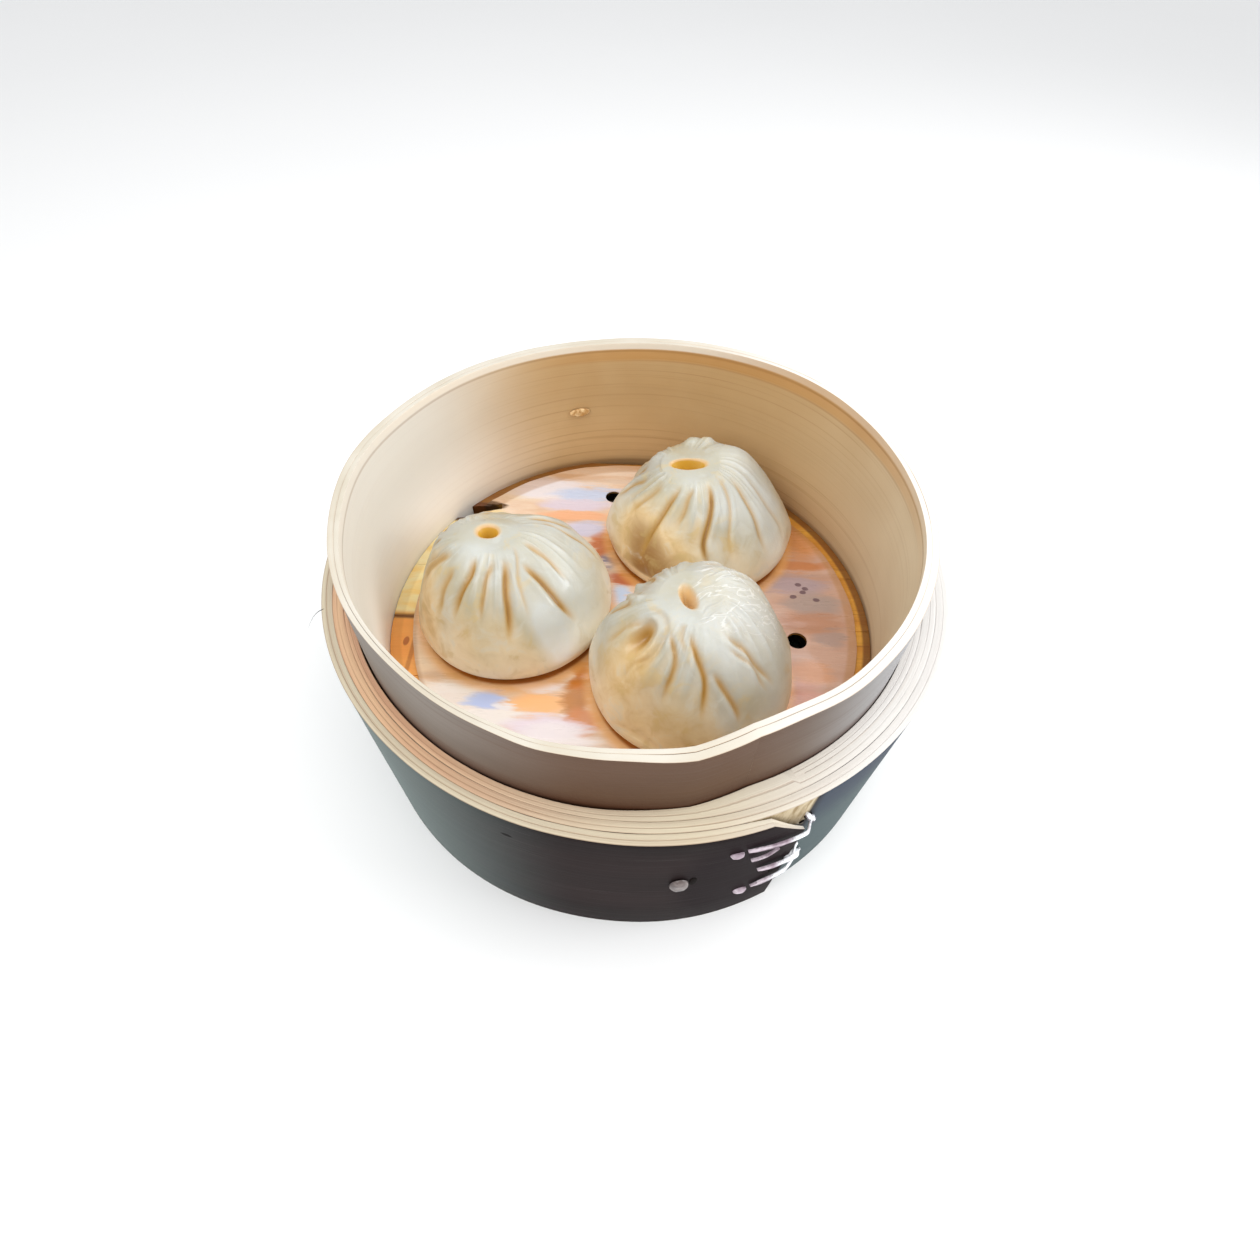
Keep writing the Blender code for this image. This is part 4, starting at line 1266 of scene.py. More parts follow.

# %% [markdown]
# The three dumplings differ in size, lean and crown. The left one has a round hole with a smooth
# collar, the back one a wide hole with a lumpy lip behind it, and the front one a slanting hole, a
# second pocket pinched into its left side and a film of wet, wrinkled skin on its right.

# %% The three dumplings
# A crease is (path of (degrees, mm from the middle), width mm, depth mm, side that laps, stain), and its
# stain is set soup with painted shade.
# A lump is (degrees, mm from the middle, size mm, height mm); a tint has its strength for a height: up
# to 1 it is soaked tan, above 1 it adds painted shade, and below 0 it is a painted highlight.
# A pocket is (place mm, turn in degrees, size mm, depth mm). Hidden is where the made-up creases go.
DUMPLINGS = {
    "left": {
        "place": (-0.0324, -0.0009), "radius": 0.0263, "height": 0.0287, "lean": (-0.0042, 0.0004),
        "hole": (0.0025, 0.0021), "hole_turn": 0.0, "stain": 1.0, "far_drop": 0.0034,
        "hidden": (6, 200), "seed": 5,
        "creases": (
            (((217, 11.0), (201, 17.4), (198, 21.5)), 2.4, 0.8, 1, 0.6),
            (((232, 13.0), (231, 19.0), (230, 22.0)), 1.5, 0.7, 1, 0.6),
            (((258, 9.4), (255, 12.7), (250, 15.4), (243, 21.0)), 1.2, 1.2, 1, 0.85),
            (((283, 9.8), (269, 13.5), (265, 17.4), (264, 20.5)), 1.1, 0.9, -1, 0.6),
            (((297, 10.4), (286, 16.1), (281, 20.0), (279, 23.0)), 1.3, 1.5, -1, 0.95),
            (((325, 8.2), (304, 13.4), (297, 18.1), (295, 20.5)), 0.8, 0.6, -1, 0.35),
            (((316, 12.6), (318, 16.7), (320, 20.0), (322, 23.4)), 1.3, 1.5, -1, 1.0),
            (((343, 9.4), (339, 13.9), (337, 18.8)), 1.1, 0.8, -1, 0.55),
        ),
        "lumps": (
            (304, 23.3, 4.5, 0.6), (345, 21.0, 5.0, 0.4), (15, 14.0, 6.0, 0.5), (88, 19.5, 7.0, -1.7),
            (128, 17.5, 6.5, -0.9), (172, 21.0, 6.5, -1.0), (192, 25.0, 5.0, -0.7), (28, 24.5, 6.0, 0.5),
        ),
        "tints": (
            (203, 19.0, 6.0, 1.0), (222, 24.0, 5.5, 0.9), (250, 23.0, 4.5, 0.6), (275, 22.5, 5.0, 0.4),
            (292, 26.0, 4.0, 0.5), (305, 23.0, 4.6, -1.6), (335, 20.0, 6.0, -0.7), (20, 16.0, 8.0, -0.6),
            (255, 7.5, 4.0, -0.8), (130, 9.0, 5.0, -0.4),
        ),
    },
    "back": {
        "place": (0.0187, 0.0303), "radius": 0.0270, "height": 0.0279, "lean": (-0.0049, -0.0008),
        "hole": (0.0042, 0.0018), "hole_turn": 4.0, "stain": 1.0, "far_drop": 0.0012,
        "hidden": (14, 190), "seed": 8,
        "creases": (
            (((224, 11.0), (218, 16.2), (206, 22.0)), 1.7, 0.8, 1, 0.45),
            (((253, 10.4), (240, 16.4), (235, 20.2), (230, 25.6)), 1.3, 1.3, 1, 0.8),
            (((272, 10.0), (262, 14.3), (253, 19.0)), 1.1, 0.9, 1, 0.55),
            (((299, 9.8), (290, 14.6), (281, 18.4), (272, 21.8), (275, 25.0)), 1.2, 1.6, 1, 1.0),
            (((326, 8.8), (311, 14.5), (304, 17.5), (294, 21.2), (291, 24.0)), 0.9, 0.8, 1, 0.4),
            (((336, 12.0), (324, 18.4), (318, 22.0), (317, 25.0)), 1.3, 0.9, -1, 0.5),
            (((353, 15.0), (342, 21.0), (337, 25.5)), 1.5, 0.5, -1, 0.25),
        ),
        "lumps": (
            (90, 12.6, 1.9, 1.3), (70, 13.2, 1.9, 1.5), (80, 12.6, 3.0, 0.9), (150, 12.5, 2.4, 1.0),
            (38, 12.0, 4.6, 0.7), (28, 15.0, 6.5, 2.4), (188, 15.5, 6.5, -1.8), (130, 18.0, 7.0, -1.5),
            (157, 23.0, 7.0, -3.0), (148, 15.5, 4.0, -0.9), (354, 27.0, 5.0, 0.5),
            (188, 27.0, 5.0, 0.9), (72, 18.5, 4.0, 0.8),
        ),
        "tints": (
            (232, 26.5, 8.0, 1.7), (212, 22.0, 6.0, 0.7), (256, 27.5, 7.0, 1.1), (272, 19.0, 4.0, 0.5),
            (293, 23.0, 3.0, 0.5), (305, 16.0, 4.0, -0.6), (325, 23.0, 5.0, -0.8),
            (350, 20.0, 6.0, -0.9), (20, 14.0, 7.0, -0.6), (275, 8.0, 4.0, -0.5),
        ),
    },
    "front": {
        "place": (0.0150, -0.0232), "radius": 0.0256, "height": 0.0341, "lean": (-0.0029, -0.0006),
        "hole": (0.0015, 0.0030), "hole_turn": 20.0, "stain": 0.62, "far_drop": 0.0,
        "hidden": (24, 178), "seed": 12,
        "creases": (
            (((211, 11.6), (197, 16.3), (192, 20.5)), 1.5, 0.6, 1, 0.35),
            (((234, 15.6), (224, 18.0), (219, 21.5)), 1.1, 0.5, 1, 0.3),
            (((245, 10.4), (254, 14.4), (254, 16.9), (250, 20.6)), 1.0, 1.1, -1, 0.7),
            (((269, 10.2), (274, 13.9), (277, 17.1), (274, 22.0)), 1.1, 1.1, -1, 0.85),
            (((285, 16.6), (293, 19.9), (295, 23.2)), 1.2, 1.1, -1, 0.7),
            (((309, 11.8), (319, 16.0), (322, 18.9), (326, 22.0)), 1.1, 1.0, -1, 0.55),
            (((306, 13.8), (316, 17.9), (319, 21.8)), 0.9, 0.6, -1, 0.4),
            (((262, 7.6), (258, 11.0), (264, 13.2)), 0.9, 0.4, 1, 0.3),
        ),
        "lumps": (
            (165, 14.6, 1.5, 1.3), (171, 12.4, 1.2, 0.7), (157, 16.2, 1.0, 0.6), (284, 13.5, 2.6, 0.4),
            (133, 20.6, 1.2, 1.3), (141, 21.6, 0.9, 0.9), (28, 13.0, 7.0, 1.8), (152, 13.5, 7.0, -1.8),
            (140, 21.0, 6.0, -2.2), (117, 17.5, 5.5, -1.1), (72, 18.0, 4.0, 0.7),
            (239, 25.0, 5.0, -1.4), (172, 24.0, 5.0, 0.5),
        ),
        "tints": (
            (212, 22.0, 7.0, 0.8), (236, 25.0, 7.0, 0.6), (226, 15.0, 4.0, 0.6), (262, 25.5, 7.0, 0.6),
            (289, 25.5, 6.5, 0.6), (322, 24.0, 5.0, -0.5), (291, 22.5, 2.6, -1.0),
            (300, 14.0, 5.0, -0.8), (325, 18.0, 6.0, -0.6), (355, 16.0, 6.0, -0.6),
            (245, 6.5, 4.0, -0.6), (150, 10.0, 6.0, -0.5),
        ),
        "pocket": ((-11.3, -8.6), 24.0, (3.0, 1.9), 3.0),
        "film": True,
    },
}


def hidden_creases(spec):
    """Make up the creases of the side that faces away."""
    picker = random.Random(spec["seed"])
    start, end = spec["hidden"]
    count = round((end - start) / 22)
    made = []
    for index in range(count):
        angle = start + (end - start) * (index + 0.5) / count + picker.uniform(-4, 4)
        twist = picker.uniform(8, 20)
        top, low = picker.uniform(12.5, 14.5), picker.uniform(21, 24)
        path = ((angle + twist, top), (angle + twist * 0.35, (top + low) / 2), (angle, low))
        width, depth = picker.uniform(1.0, 1.6), picker.uniform(0.6, 1.1)
        made.append((path, width, depth, picker.choice((-1, 1)), picker.uniform(0.4, 0.9)))
    return made


for name, spec in DUMPLINGS.items():
    print(f"{name}: {len(spec['creases'])} creases in view, {len(hidden_creases(spec))} behind")

# %% [markdown]
# A crease is found by its path: at each level of the dumpling the path has one direction, and the
# distance sideways from it shapes the dough. On the open side the dough falls away slowly; on the
# lapped side it folds over, so it drops steeply and stands up in a soft ridge.

# %% Press in the pleats
def crease_course(path, outline, seed):
    """Return the levels and directions of a crease, with its corners smoothed and a slight waver."""
    ring_reach = np.array([point[0] for point in outline])
    ring_way = np.linspace(0.0, 1.0, len(outline))
    widest = int(np.argmax(ring_reach))
    upper_reach, upper_way = ring_reach[widest:][::-1], ring_way[widest:][::-1]
    ways = [float(np.interp(reach * MM, upper_reach, upper_way)) for _, reach in path]
    angles = [path[0][0] + turn_between(angle, path[0][0]) for angle, _ in path]
    extra = 0.12 * (ways[0] - ways[-1])
    levels = np.linspace(ways[-1] - extra, ways[0] + extra, 61)
    course = np.interp(levels, ways[::-1], angles[::-1])
    for _ in range(2):
        course = np.convolve(np.pad(course, 4, mode="edge"), np.ones(9) / 9, mode="valid")
    share = np.linspace(0.0, 1.0, 61)
    return levels, course + 1.1 * np.sin(share * 8.0 + seed) * np.sin(share * math.pi)


def press_creases(spec, outline, angle, reach, way):
    """Return the push along the normal and the crease strength, for every vertex."""
    push = np.zeros_like(angle)
    crease_stain_and_shade = np.zeros_like(angle)
    creases = (*spec["creases"], *hidden_creases(spec))
    for index, (path, width, depth, lap, stain) in enumerate(creases):
        levels, course = crease_course(path, outline, spec["seed"] + index * 1.7)
        share = (levels[-1] - way) / (levels[-1] - levels[0])
        centre = np.interp(way, levels, course)
        aside = np.radians(turn_between(angle, centre)) * reach / (0.86 * width * MM) * lap
        fade = smooth(share / 0.30) * smooth((1.0 - share) / 0.34)
        slope = np.where(aside > 0.0, aside / 0.55, -aside / 1.25)
        valley = 0.75 * np.exp(-(slope ** 2)) + 0.25 * np.exp(-((aside * 0.5) ** 2))
        ridge = 0.34 * np.exp(-(((aside - 1.45) / 0.95) ** 2))
        push += 0.74 * depth * MM * fade * (ridge - valley)
        mark = np.exp(-(np.where(aside > 0.0, aside / 0.55, aside / 0.95) ** 2))
        crease_stain_and_shade = np.maximum(crease_stain_and_shade, fade * mark * stain)
    return push, crease_stain_and_shade


def press_fine_pleats(spec, angle, reach, way):
    """Return the push of the thin ridges between the creases, which twist as the pleats do."""
    turned = np.radians(angle - 1.3 * (22.0 - reach / MM))
    ridge = (1.0 - np.abs(np.sin(turned * 11.0 + 1.2 * np.sin(turned * 3.0 + spec["seed"])))) ** 1.6
    ridge += 0.7 * (1.0 - np.abs(np.sin(turned * 18.0 + 0.9 * np.sin(turned * 4.0)))) ** 2.0
    patchy = 0.55 + 0.45 * np.sin(turned * 5.0 + spec["seed"] * 2.0)
    fade = smooth((reach / MM - 6.5) / 4.0) * smooth((23.0 - reach / MM) / 7.0)
    fade = fade * smooth((way - 0.3) / 0.1)
    return 0.00042 * ridge * patchy * fade, ridge * patchy * fade


print("pleats ready to press")

# %% [markdown]
# Some shapes are placed as seen from above instead. Lumps are soft round swells and dents. The pocket
# is an oval pit with a fold half way round it. The film is a thin wet skin that has slipped and lies in
# wrinkles, a little over two millimetres apart.

# %% Lumps, pocket and film
def plan_offset(x, y, centre):
    """Return distances in mm from a place on the dumpling seen from above."""
    return x / MM - centre[0], y / MM - centre[1]


def sum_of_spots(spots, x, y):
    """Add up soft round spots: lumps of dough, or tints that are soaked (1), painted shade as well
    (above 1) or painted highlight (-1).
    """
    total = np.zeros_like(x)
    for angle, reach, size, amount in spots:
        turn = math.radians(angle)
        dx, dy = plan_offset(x, y, (reach * math.cos(turn), reach * math.sin(turn)))
        total += amount * np.exp(-(dx * dx + dy * dy) / (size * size))
    return total


def press_pocket(spec, x, y):
    """Return the push and the depth of the pinched pocket, with a fold along its lower right side."""
    centre, turn, size, depth = spec["pocket"]
    dx, dy = plan_offset(x, y, centre)
    cos, sin = math.cos(math.radians(turn)), math.sin(math.radians(turn))
    long, short = (dx * cos + dy * sin) / size[0], (-dx * sin + dy * cos) / size[1]
    far = np.sqrt(long * long + short * short)
    well = np.exp(-(far ** 2.2))
    side = smooth((long * 0.8 - short * 0.5 + 0.3) / 1.2)
    wide = np.hypot(dx * cos + dy * sin, (-dx * sin + dy * cos) * 1.25) / 4.4
    fold = np.exp(-(((wide - 1.0) / 0.16) ** 2)) * side
    groove = np.exp(-(((wide - 1.42) / 0.15) ** 2)) * side
    return MM * (0.55 * fold - depth * well - 0.55 * groove), well * 1.1 + 0.18 * groove


def press_film(x, y):
    """Return the fine wrinkles of the wet skin and where that skin is."""
    px, py = x / MM, y / MM
    near = smooth((px - 0.5) / 3.0) * smooth((py - 0.30 * px + 13.5) / 6.0)
    region = near * smooth((23.5 - np.hypot(px, py)) / 5.0)
    waver = 0.7 * np.sin(px * 0.55) + 0.35 * np.sin(px * 1.3 + py * 0.4)
    lines = py - 0.42 * px + 0.020 * (px - 4.0) ** 2 + waver
    wrinkle = np.sin(lines * 2.0 * math.pi / 2.3)
    wrinkle += 0.6 * np.sin(lines * 2.0 * math.pi / 1.25 + px * 0.6)
    patchy = 0.55 + 0.45 * np.sin(px * 0.7 + 1.0) * np.sin(py * 0.6)
    return 0.00010 * wrinkle * region * patchy, region


print("lumps, pocket and film ready")

# %% [markdown]
# The outline is spun into a closed body. The well in the crown is squeezed to its oval, the crown is
# leaned, and its far side is lowered, because no dumpling stands straight.

# %% Spin and lean the bodies
def spin_body(outline):
    """Spin the outline, keeping in the layer `way` how far along the outline a vertex lies."""
    bm = bmesh.new()
    way_layer = bm.verts.layers.float.new("way")
    line = []
    for index, (reach, height) in enumerate(outline):
        vert = bm.verts.new((reach, 0.0, height))
        vert[way_layer] = index / (len(outline) - 1)
        line.append(vert)
    spin_round(bm, line, (0, 0, 1), 288)
    face_outwards(bm)
    return bm, way_layer


def hole_size(spec):
    """Return the radius of the round hole that has the same area as this oval one."""
    return math.sqrt(spec["hole"][0] * spec["hole"][1])


def lean_crown(spec, x, y, reach):
    """Squeeze the well to its oval and move the crown to where it leans."""
    wide, deep = spec["hole"]
    even = hole_size(spec)
    cos, sin = math.cos(math.radians(spec["hole_turn"])), math.sin(math.radians(spec["hole_turn"]))
    near = 1.0 - smooth((reach - even) / 0.0065)
    across = (x * cos + y * sin) * (1.0 + (wide / even - 1.0) * near)
    along = (y * cos - x * sin) * (1.0 + (deep / even - 1.0) * near)
    centred = 1.0 - (reach / spec["radius"]) ** 2
    new_x = across * cos - along * sin + spec["lean"][0] * centred
    new_y = across * sin + along * cos + spec["lean"][1] * centred
    return new_x, new_y


def drop_far_side(spec, angle, reach, way):
    """Return how much lower the crown stands on its far side."""
    behind = np.exp(-((turn_between(angle, 92.0) / 62.0) ** 2))
    return spec["far_drop"] * behind * smooth((reach - 0.0030) / 0.0065) * smooth((way - 0.30) / 0.35)


for name, spec in DUMPLINGS.items():
    print(f"{name}: the hole in the crown is {2 * hole_size(spec) / MM:.1f} mm across")

# %% [markdown]
# Now the dumplings are put together. All presses are worked out on the upright body and added up. The
# smooth leaning body's normals then give the direction in which they push the dough, along with a
# little unevenness. The foot isn't pressed, so that it lies flat.

# %% Shape the dumplings
FOOT_LIFT = 0.0003


def plan_marks(spec, outline, x, y, way):
    """Return the push along the normal, and the marks that the finish reads, for every vertex."""
    reach, angle = np.hypot(x, y), np.degrees(np.arctan2(y, x))
    push, crease = press_creases(spec, outline, angle, reach, way)
    fine_push, fine = press_fine_pleats(spec, angle, reach, way)
    push += MM * sum_of_spots(spec["lumps"], x, y) + fine_push
    tint = np.clip(sum_of_spots(spec["tints"], x, y), -1.0, 2.0)
    tint = np.clip(tint - 0.45 * fine, -1.0, 2.0) * smooth((way - 0.05) / 0.10)
    well = np.where(way > 0.6, 1.0 - smooth((reach / hole_size(spec) - 0.80) / 0.75), 0.0)
    well = well * spec["stain"]
    film = np.zeros_like(x)
    if "pocket" in spec:
        pocket_push, pocket_well = press_pocket(spec, x, y)
        upper = smooth((way - 0.2) / 0.1)
        push += pocket_push * upper
        well = np.maximum(well, 0.10 * pocket_well * upper)
        crease = np.maximum(crease, 0.85 * pocket_well * upper)
    if "film" in spec:
        film_push, film = press_film(x, y)
        film = film * smooth((way - 0.3) / 0.1)
        push += film_push * film
    soaked, pale = np.maximum(0.0, tint), np.maximum(0.0, -tint)
    return push, {"crease": crease, "well": well, "film": film, "soaked": soaked, "pale": pale}


def keep_marks(bm, marks):
    """Keep each mark on the vertices, in a layer of its own."""
    for mark, values in marks.items():
        layer = bm.verts.layers.float.new(mark)
        for index, vert in enumerate(bm.verts):
            vert[layer] = values[index]


def uneven(place, seed):
    """Return the small unevenness of hand-made dough at this place."""
    lump = 0.0
    for scale, shift, depth in ((62.0, 3.0, 0.00050), (130.0, 0.0, 0.00030), (300.0, 5.0, 0.00009)):
        lump += noise.noise(place * scale + Vector((shift, 0.0, seed))) * depth
    return lump


def shape_dumpling(name, finish):
    """Spin one dumpling and press its own pleats and marks into it."""
    spec = DUMPLINGS[name]
    outline = dumpling_outline(spec["radius"], spec["height"], hole_size(spec))
    bm, way_layer = spin_body(outline)
    x, y, _ = np.array([vert.co for vert in bm.verts]).T
    way = np.array([vert[way_layer] for vert in bm.verts])
    reach, angle = np.hypot(x, y), np.degrees(np.arctan2(y, x))
    push, marks = plan_marks(spec, outline, x, y, way)
    keep_marks(bm, marks)
    new_x, new_y = lean_crown(spec, x, y, reach)
    drop = drop_far_side(spec, angle, reach, way)
    for index, vert in enumerate(bm.verts):
        vert.co.x, vert.co.y = new_x[index], new_y[index]
        vert.co.z -= drop[index]
    bm.normal_update()
    foot = AXIS + Vector((*spec["place"], LINER_TOP + FOOT_LIFT))
    off_foot = smooth((way - 0.06) / 0.10)
    for index, vert in enumerate(bm.verts):
        amount = (push[index] + uneven(vert.co, spec["seed"])) * off_foot[index]
        vert.co = foot + vert.co + vert.normal * amount
    set_down(bm, f"{name}_dumpling_skin", (finish,), (f"dumpling_{name}",), 80.0)


print("bodies ready to shape")

# %% [markdown]
# Steamed dough is a dull grey-cream on top, and low down it is painted warmer and lighter for the light
# that falls there. It is tan where soup has soaked into it, and where a tint is strongest, mostly low on
# the back dumpling, a brown painted shade from its neighbours darkens it. Its pale, near white patches
# are painted highlights, and fine white threads on the film are painted glints. It is ochre and brown in
# the creases and in the crown, partly set soup and partly painted shade where light gets lost, with the
# ochre painted lighter in a shallow well, and a dark brown painted contact shadow over soup lies at its
# foot. A damp skin lies over all of it, so it has a soft shine with wetter patches. Light enters dough a
# short way, which subsurface scattering gives.

# %% Finish: steamed dough
def steamed_dough():
    """Cream dough with ochre creases, a damp sheen and wet patches."""
    finish = Finish("steamed_dough", {
        "Subsurface Weight": 0.10, "Subsurface Scale": 0.0020, "Subsurface Radius": (1.0, 0.75, 0.45),
        "Specular IOR Level": 0.5, "Coat Roughness": 0.18,
    })
    crease, well, film = finish.layer("crease"), finish.layer("well"), finish.layer("film")
    cloud = finish.grain(finish.place, 75.0, 3.0, 0.5, 0.3)
    mottle = finish.grain(finish.place, 190.0, 3.0, 0.55, 0.6)
    fine = finish.grain(finish.place, 420.0, 3.0, 0.55)
    pore = finish.grain(finish.place, 1500.0, 2.0, 0.5)
    height = finish.z - LINER_TOP
    low = (height + (cloud - 0.5) * 0.010 + (mottle - 0.5) * 0.006).step(0.0210, 0.0040)
    soaked = (finish.layer("soaked") * (0.6 + mottle * 0.8)).least(1.0)
    pale = (finish.layer("pale") * (0.5 + mottle)).least(1.0)
    finish.ground(cloud.step(0.35, 0.65), "B1B0A5", "B0A991")
    # Painted light: the dough is painted lighter and warmer low down.
    finish.paint(low * 0.75, finish.mix(cloud.step(0.3, 0.7), "FFF4DC", "FAE8C4"))
    finish.paint(soaked * 0.75, finish.mix(mottle.step(0.35, 0.65), "EECF98", "DCB87A"))
    # Painted shade: where a tint is above 1, mostly low on the back dumpling, it darkens to brown.
    deep = (finish.layer("soaked") + (mottle - 0.5) * 0.3).step(0.80, 1.9)
    finish.paint(deep * 0.95, "92662E")
    finish.paint(mottle.step(0.54, 0.68) * 0.40, "C6AE74")
    finish.paint(mottle.step(0.44, 0.30) * 0.35, "C6C8C2")
    # Painted highlights: the pale patches, near white low down.
    finish.paint(pale * 0.90, finish.mix(height.step(0.016, 0.006), "C3C6C2", "F8FAFA"))
    # Creases: ochre and brown, partly set soup and partly painted shade.
    finish.paint(crease * 1.2, "BE9444")
    finish.paint(crease ** 2.2 * 0.9, "84581A")
    ochre = finish.mix(cloud, "D0A23A", "B88A20")
    # In a shallow well the ochre is painted lighter, to lift its shade.
    ochre = finish.mix(well.step(0.80, 0.64), ochre, "DEB06C")
    finish.paint(well * 1.2, ochre)
    finish.paint(film * 0.34, "CACBC8")
    along = finish.x * 0.8 + finish.y * 0.3
    lying = finish.join(along, (finish.y - finish.x * 0.42) * 2.4, finish.z * 1.6)
    crinkle = finish.grain(lying, 130.0, 2.0, 0.5, 0.9)
    # Painted glints: fine white threads along the film's wrinkles.
    glint_threads = abs(crinkle - 0.5).step(0.030, 0.004) * film
    finish.paint(glint_threads * 0.34, "F0F0EE")
    # Painted contact shadow over soup: dark brown at the foot.
    finish.paint(height.step(0.0034, 0.0008) * 0.85, "7A4412")
    wet = cloud.step(0.55, 0.70).most(film * 0.15)
    finish.set("Roughness", 0.42 - wet * 0.16 + fine * 0.06)
    finish.set("Coat Weight", 0.12 + wet * 0.5)
    finish.bump(fine * 0.55 + pore * 0.20 + mottle * 0.8 + glint_threads * 0.05, 0.00030, 0.5)
    return finish.done()


DOUGH = steamed_dough()
for dumpling in DUMPLINGS:
    shape_dumpling(dumpling, DOUGH)

# %% [markdown]
# ## Peg, lacing and tie
#
# A peg at the front pins the hoops together. Its worn head is taller than it is wide, so the peg is
# turned round first and its head is then drawn out upwards.

# %% Peg
PEG_ANGLE = 278.8
PEG_HEIGHT = 0.0315
PEG_RADIUS = 0.0014
PEG_HEAD_RADIUS = 0.0021
PEG_HEAD = 0.0010
PEG_TALL = 1.45


def turns_outside(angle):
    """Return how far along the strip the outermost layer lies in this direction."""
    turns = OUTER_TURNS + (angle - OUTER_END_ANGLE) / 360.0
    return turns if angle <= OUTER_END_ANGLE else turns - 1.0


def set_peg(finish):
    """Turn the peg with a worn head and set it in the front of the hoops."""
    radius = outer_radius(turns_outside(PEG_ANGLE), 1.0, PEG_HEIGHT)
    face = (outer_point(PEG_ANGLE, radius, 0.0) - AXIS).length
    start, neck = INNER_BORE + INNER_STRIP, face + 0.0003
    points = [(start, 0.0), (start, PEG_RADIUS), (neck, PEG_RADIUS)]
    for step in range(9):
        turn = math.radians(90.0 * step / 8)
        points.append((neck + PEG_HEAD * math.sin(turn), PEG_HEAD_RADIUS * math.cos(turn) ** 0.6))
    bm = bmesh.new()
    spin_round(bm, [bm.verts.new((x, reach, 0.0)) for x, reach in points], (1, 0, 0), 40)
    for vert in bm.verts:
        if vert.co.x > face:
            vert.co *= 1.0 + 0.0016 * noise.noise(vert.co * 900.0)
            vert.co.z *= PEG_TALL
    turn = Matrix.Rotation(math.radians(PEG_ANGLE), 4, "Z")
    place = Matrix.Translation(AXIS + Vector((0.0, 0.0, PEG_HEIGHT)))
    bmesh.ops.transform(bm, matrix=place @ turn, verts=bm.verts)
    set_down(bm, "peg_head", (finish,), ("peg",))


print(f"peg head, {2 * PEG_HEAD_RADIUS / MM:.1f} mm wide, {PEG_TALL} times as tall")

# %% [markdown]
# A flat silvery strip of peeled rattan is laced over the end of the outer strip, in four stitches. A
# strand is a thin blank laid on the hoop's own spiral, so it follows the step where the strip ends, and
# it is pinched where it enters the wood. A bead is the flattened end of a stitch, where it turns into
# its hole. The first stitch has two strands and a bead, the second a strand and a bead, the third a
# strand alone, and of the fourth only the bead shows.

# %% Lacing
# A strand is (start, end, widths at both, bow) and a bead (place, half length). A place is (degrees, m).
LACE_STRANDS = (
    (
        ((288.0, 0.0462), (300.4, 0.0434), (0.0010, 0.0014), 0.0),
        ((289.4, 0.0390), (293.8, 0.0412), (0.0006, 0.0004), 0.0002),
    ),
    (((291.8, 0.0296), (300.6, 0.0270), (0.0012, 0.0042), 0.0004),),
    (((292.2, 0.0170), (302.8, 0.0206), (0.0030, 0.0014), 0.0003),),
    (),
)
LACE_BEADS = (
    (((286.6, 0.0446), 0.0015),),
    (((298.6, 0.0284), 0.0020),),
    (),
    (((290.4, 0.0158), 0.0017),),
)
LACE_GROOVES = (-0.3, -0.15, 0.0, 0.15, 0.3)


def lace_face(angle, end_angle, height):
    """Return the radius under a stitch, which comes down off the strip's end to the turn below."""
    below = outer_radius(turns_outside(angle), 1.0, height)
    if angle <= OUTER_END_ANGLE:
        return below
    above = outer_radius(OUTER_TURNS, 1.0, height)
    return above + (below - above) * rise((angle - OUTER_END_ANGLE) / (end_angle - OUTER_END_ANGLE))


def lay_strand(start, end, widths, bow, twist):
    """Return one flat grooved strand, from (degrees, height) to (degrees, height)."""
    bm = eased_blank((0.0, 0.0, -0.5), (1.0, 1.0, 0.5), 0.2, 3)
    slice_level(bm, LACE_GROOVES)
    cut_lengths(bm, 47)
    side_layer = bm.verts.layers.float.new("side")
    for vert in bm.verts:
        share = vert.co.x
        vert[side_layer] = vert.co.z
        angle = start[0] + (end[0] - start[0]) * share
        middle = start[1] + (end[1] - start[1]) * share + bow * math.sin(math.pi * share)
        full = (widths[0] + (widths[1] - widths[0]) * share) * (0.25 + 0.75 * rise(share / 0.12))
        full *= 1.0 + 0.10 * math.sin(share * 17.0 + twist)
        height = middle + vert.co.z * full
        fold = 0.00018 * math.cos(vert.co.z * 19.0 + share * 4.0 + twist)
        arch = 0.00035 * math.sin(math.pi * share) ** 0.8
        raised = 0.00012 + vert.co.y * 0.00055 + arch + fold * vert.co.y
        radius = lace_face(angle, end[0], height) + raised
        vert.co = outer_point(angle, radius, height)
    return bm


def press_bead(place, size, tall=0.45):
    """Return the flattened end of a stitch, where it turns into its hole."""
    bm = bmesh.new()
    bmesh.ops.create_uvsphere(bm, u_segments=28, v_segments=16, radius=1.0)
    angle, height = place
    radius = lace_face(angle, angle + 10.0, height)
    side_layer = bm.verts.layers.float.new("side")
    for vert in bm.verts:
        vert[side_layer] = vert.co.z * 0.4
        lump = 1.0 + 0.14 * noise.noise(vert.co * 1.8 + Vector((angle, 0.0, 0.0)))
        along, out, up = vert.co * lump
        turn = angle + math.degrees(along * size / radius)
        out = radius + 0.0002 + out * size * 0.55
        vert.co = outer_point(turn, out, height + up * size * tall)
    return bm


def lay_stitch(index, finish):
    """Lay one stitch: its strands and the beads where they go in."""
    whole = bmesh.new()
    for number, (start, end, widths, bow) in enumerate(LACE_STRANDS[index]):
        join_into(whole, lay_strand(start, end, widths, bow, index * 2.0 + number))
    for place, size in LACE_BEADS[index]:
        join_into(whole, press_bead(place, size))
    set_down(whole, f"lace_stitch_{index + 1}", (finish,), (f"lace_{index + 1}",))


print("strands in each stitch:", [len(strands) for strands in LACE_STRANDS])

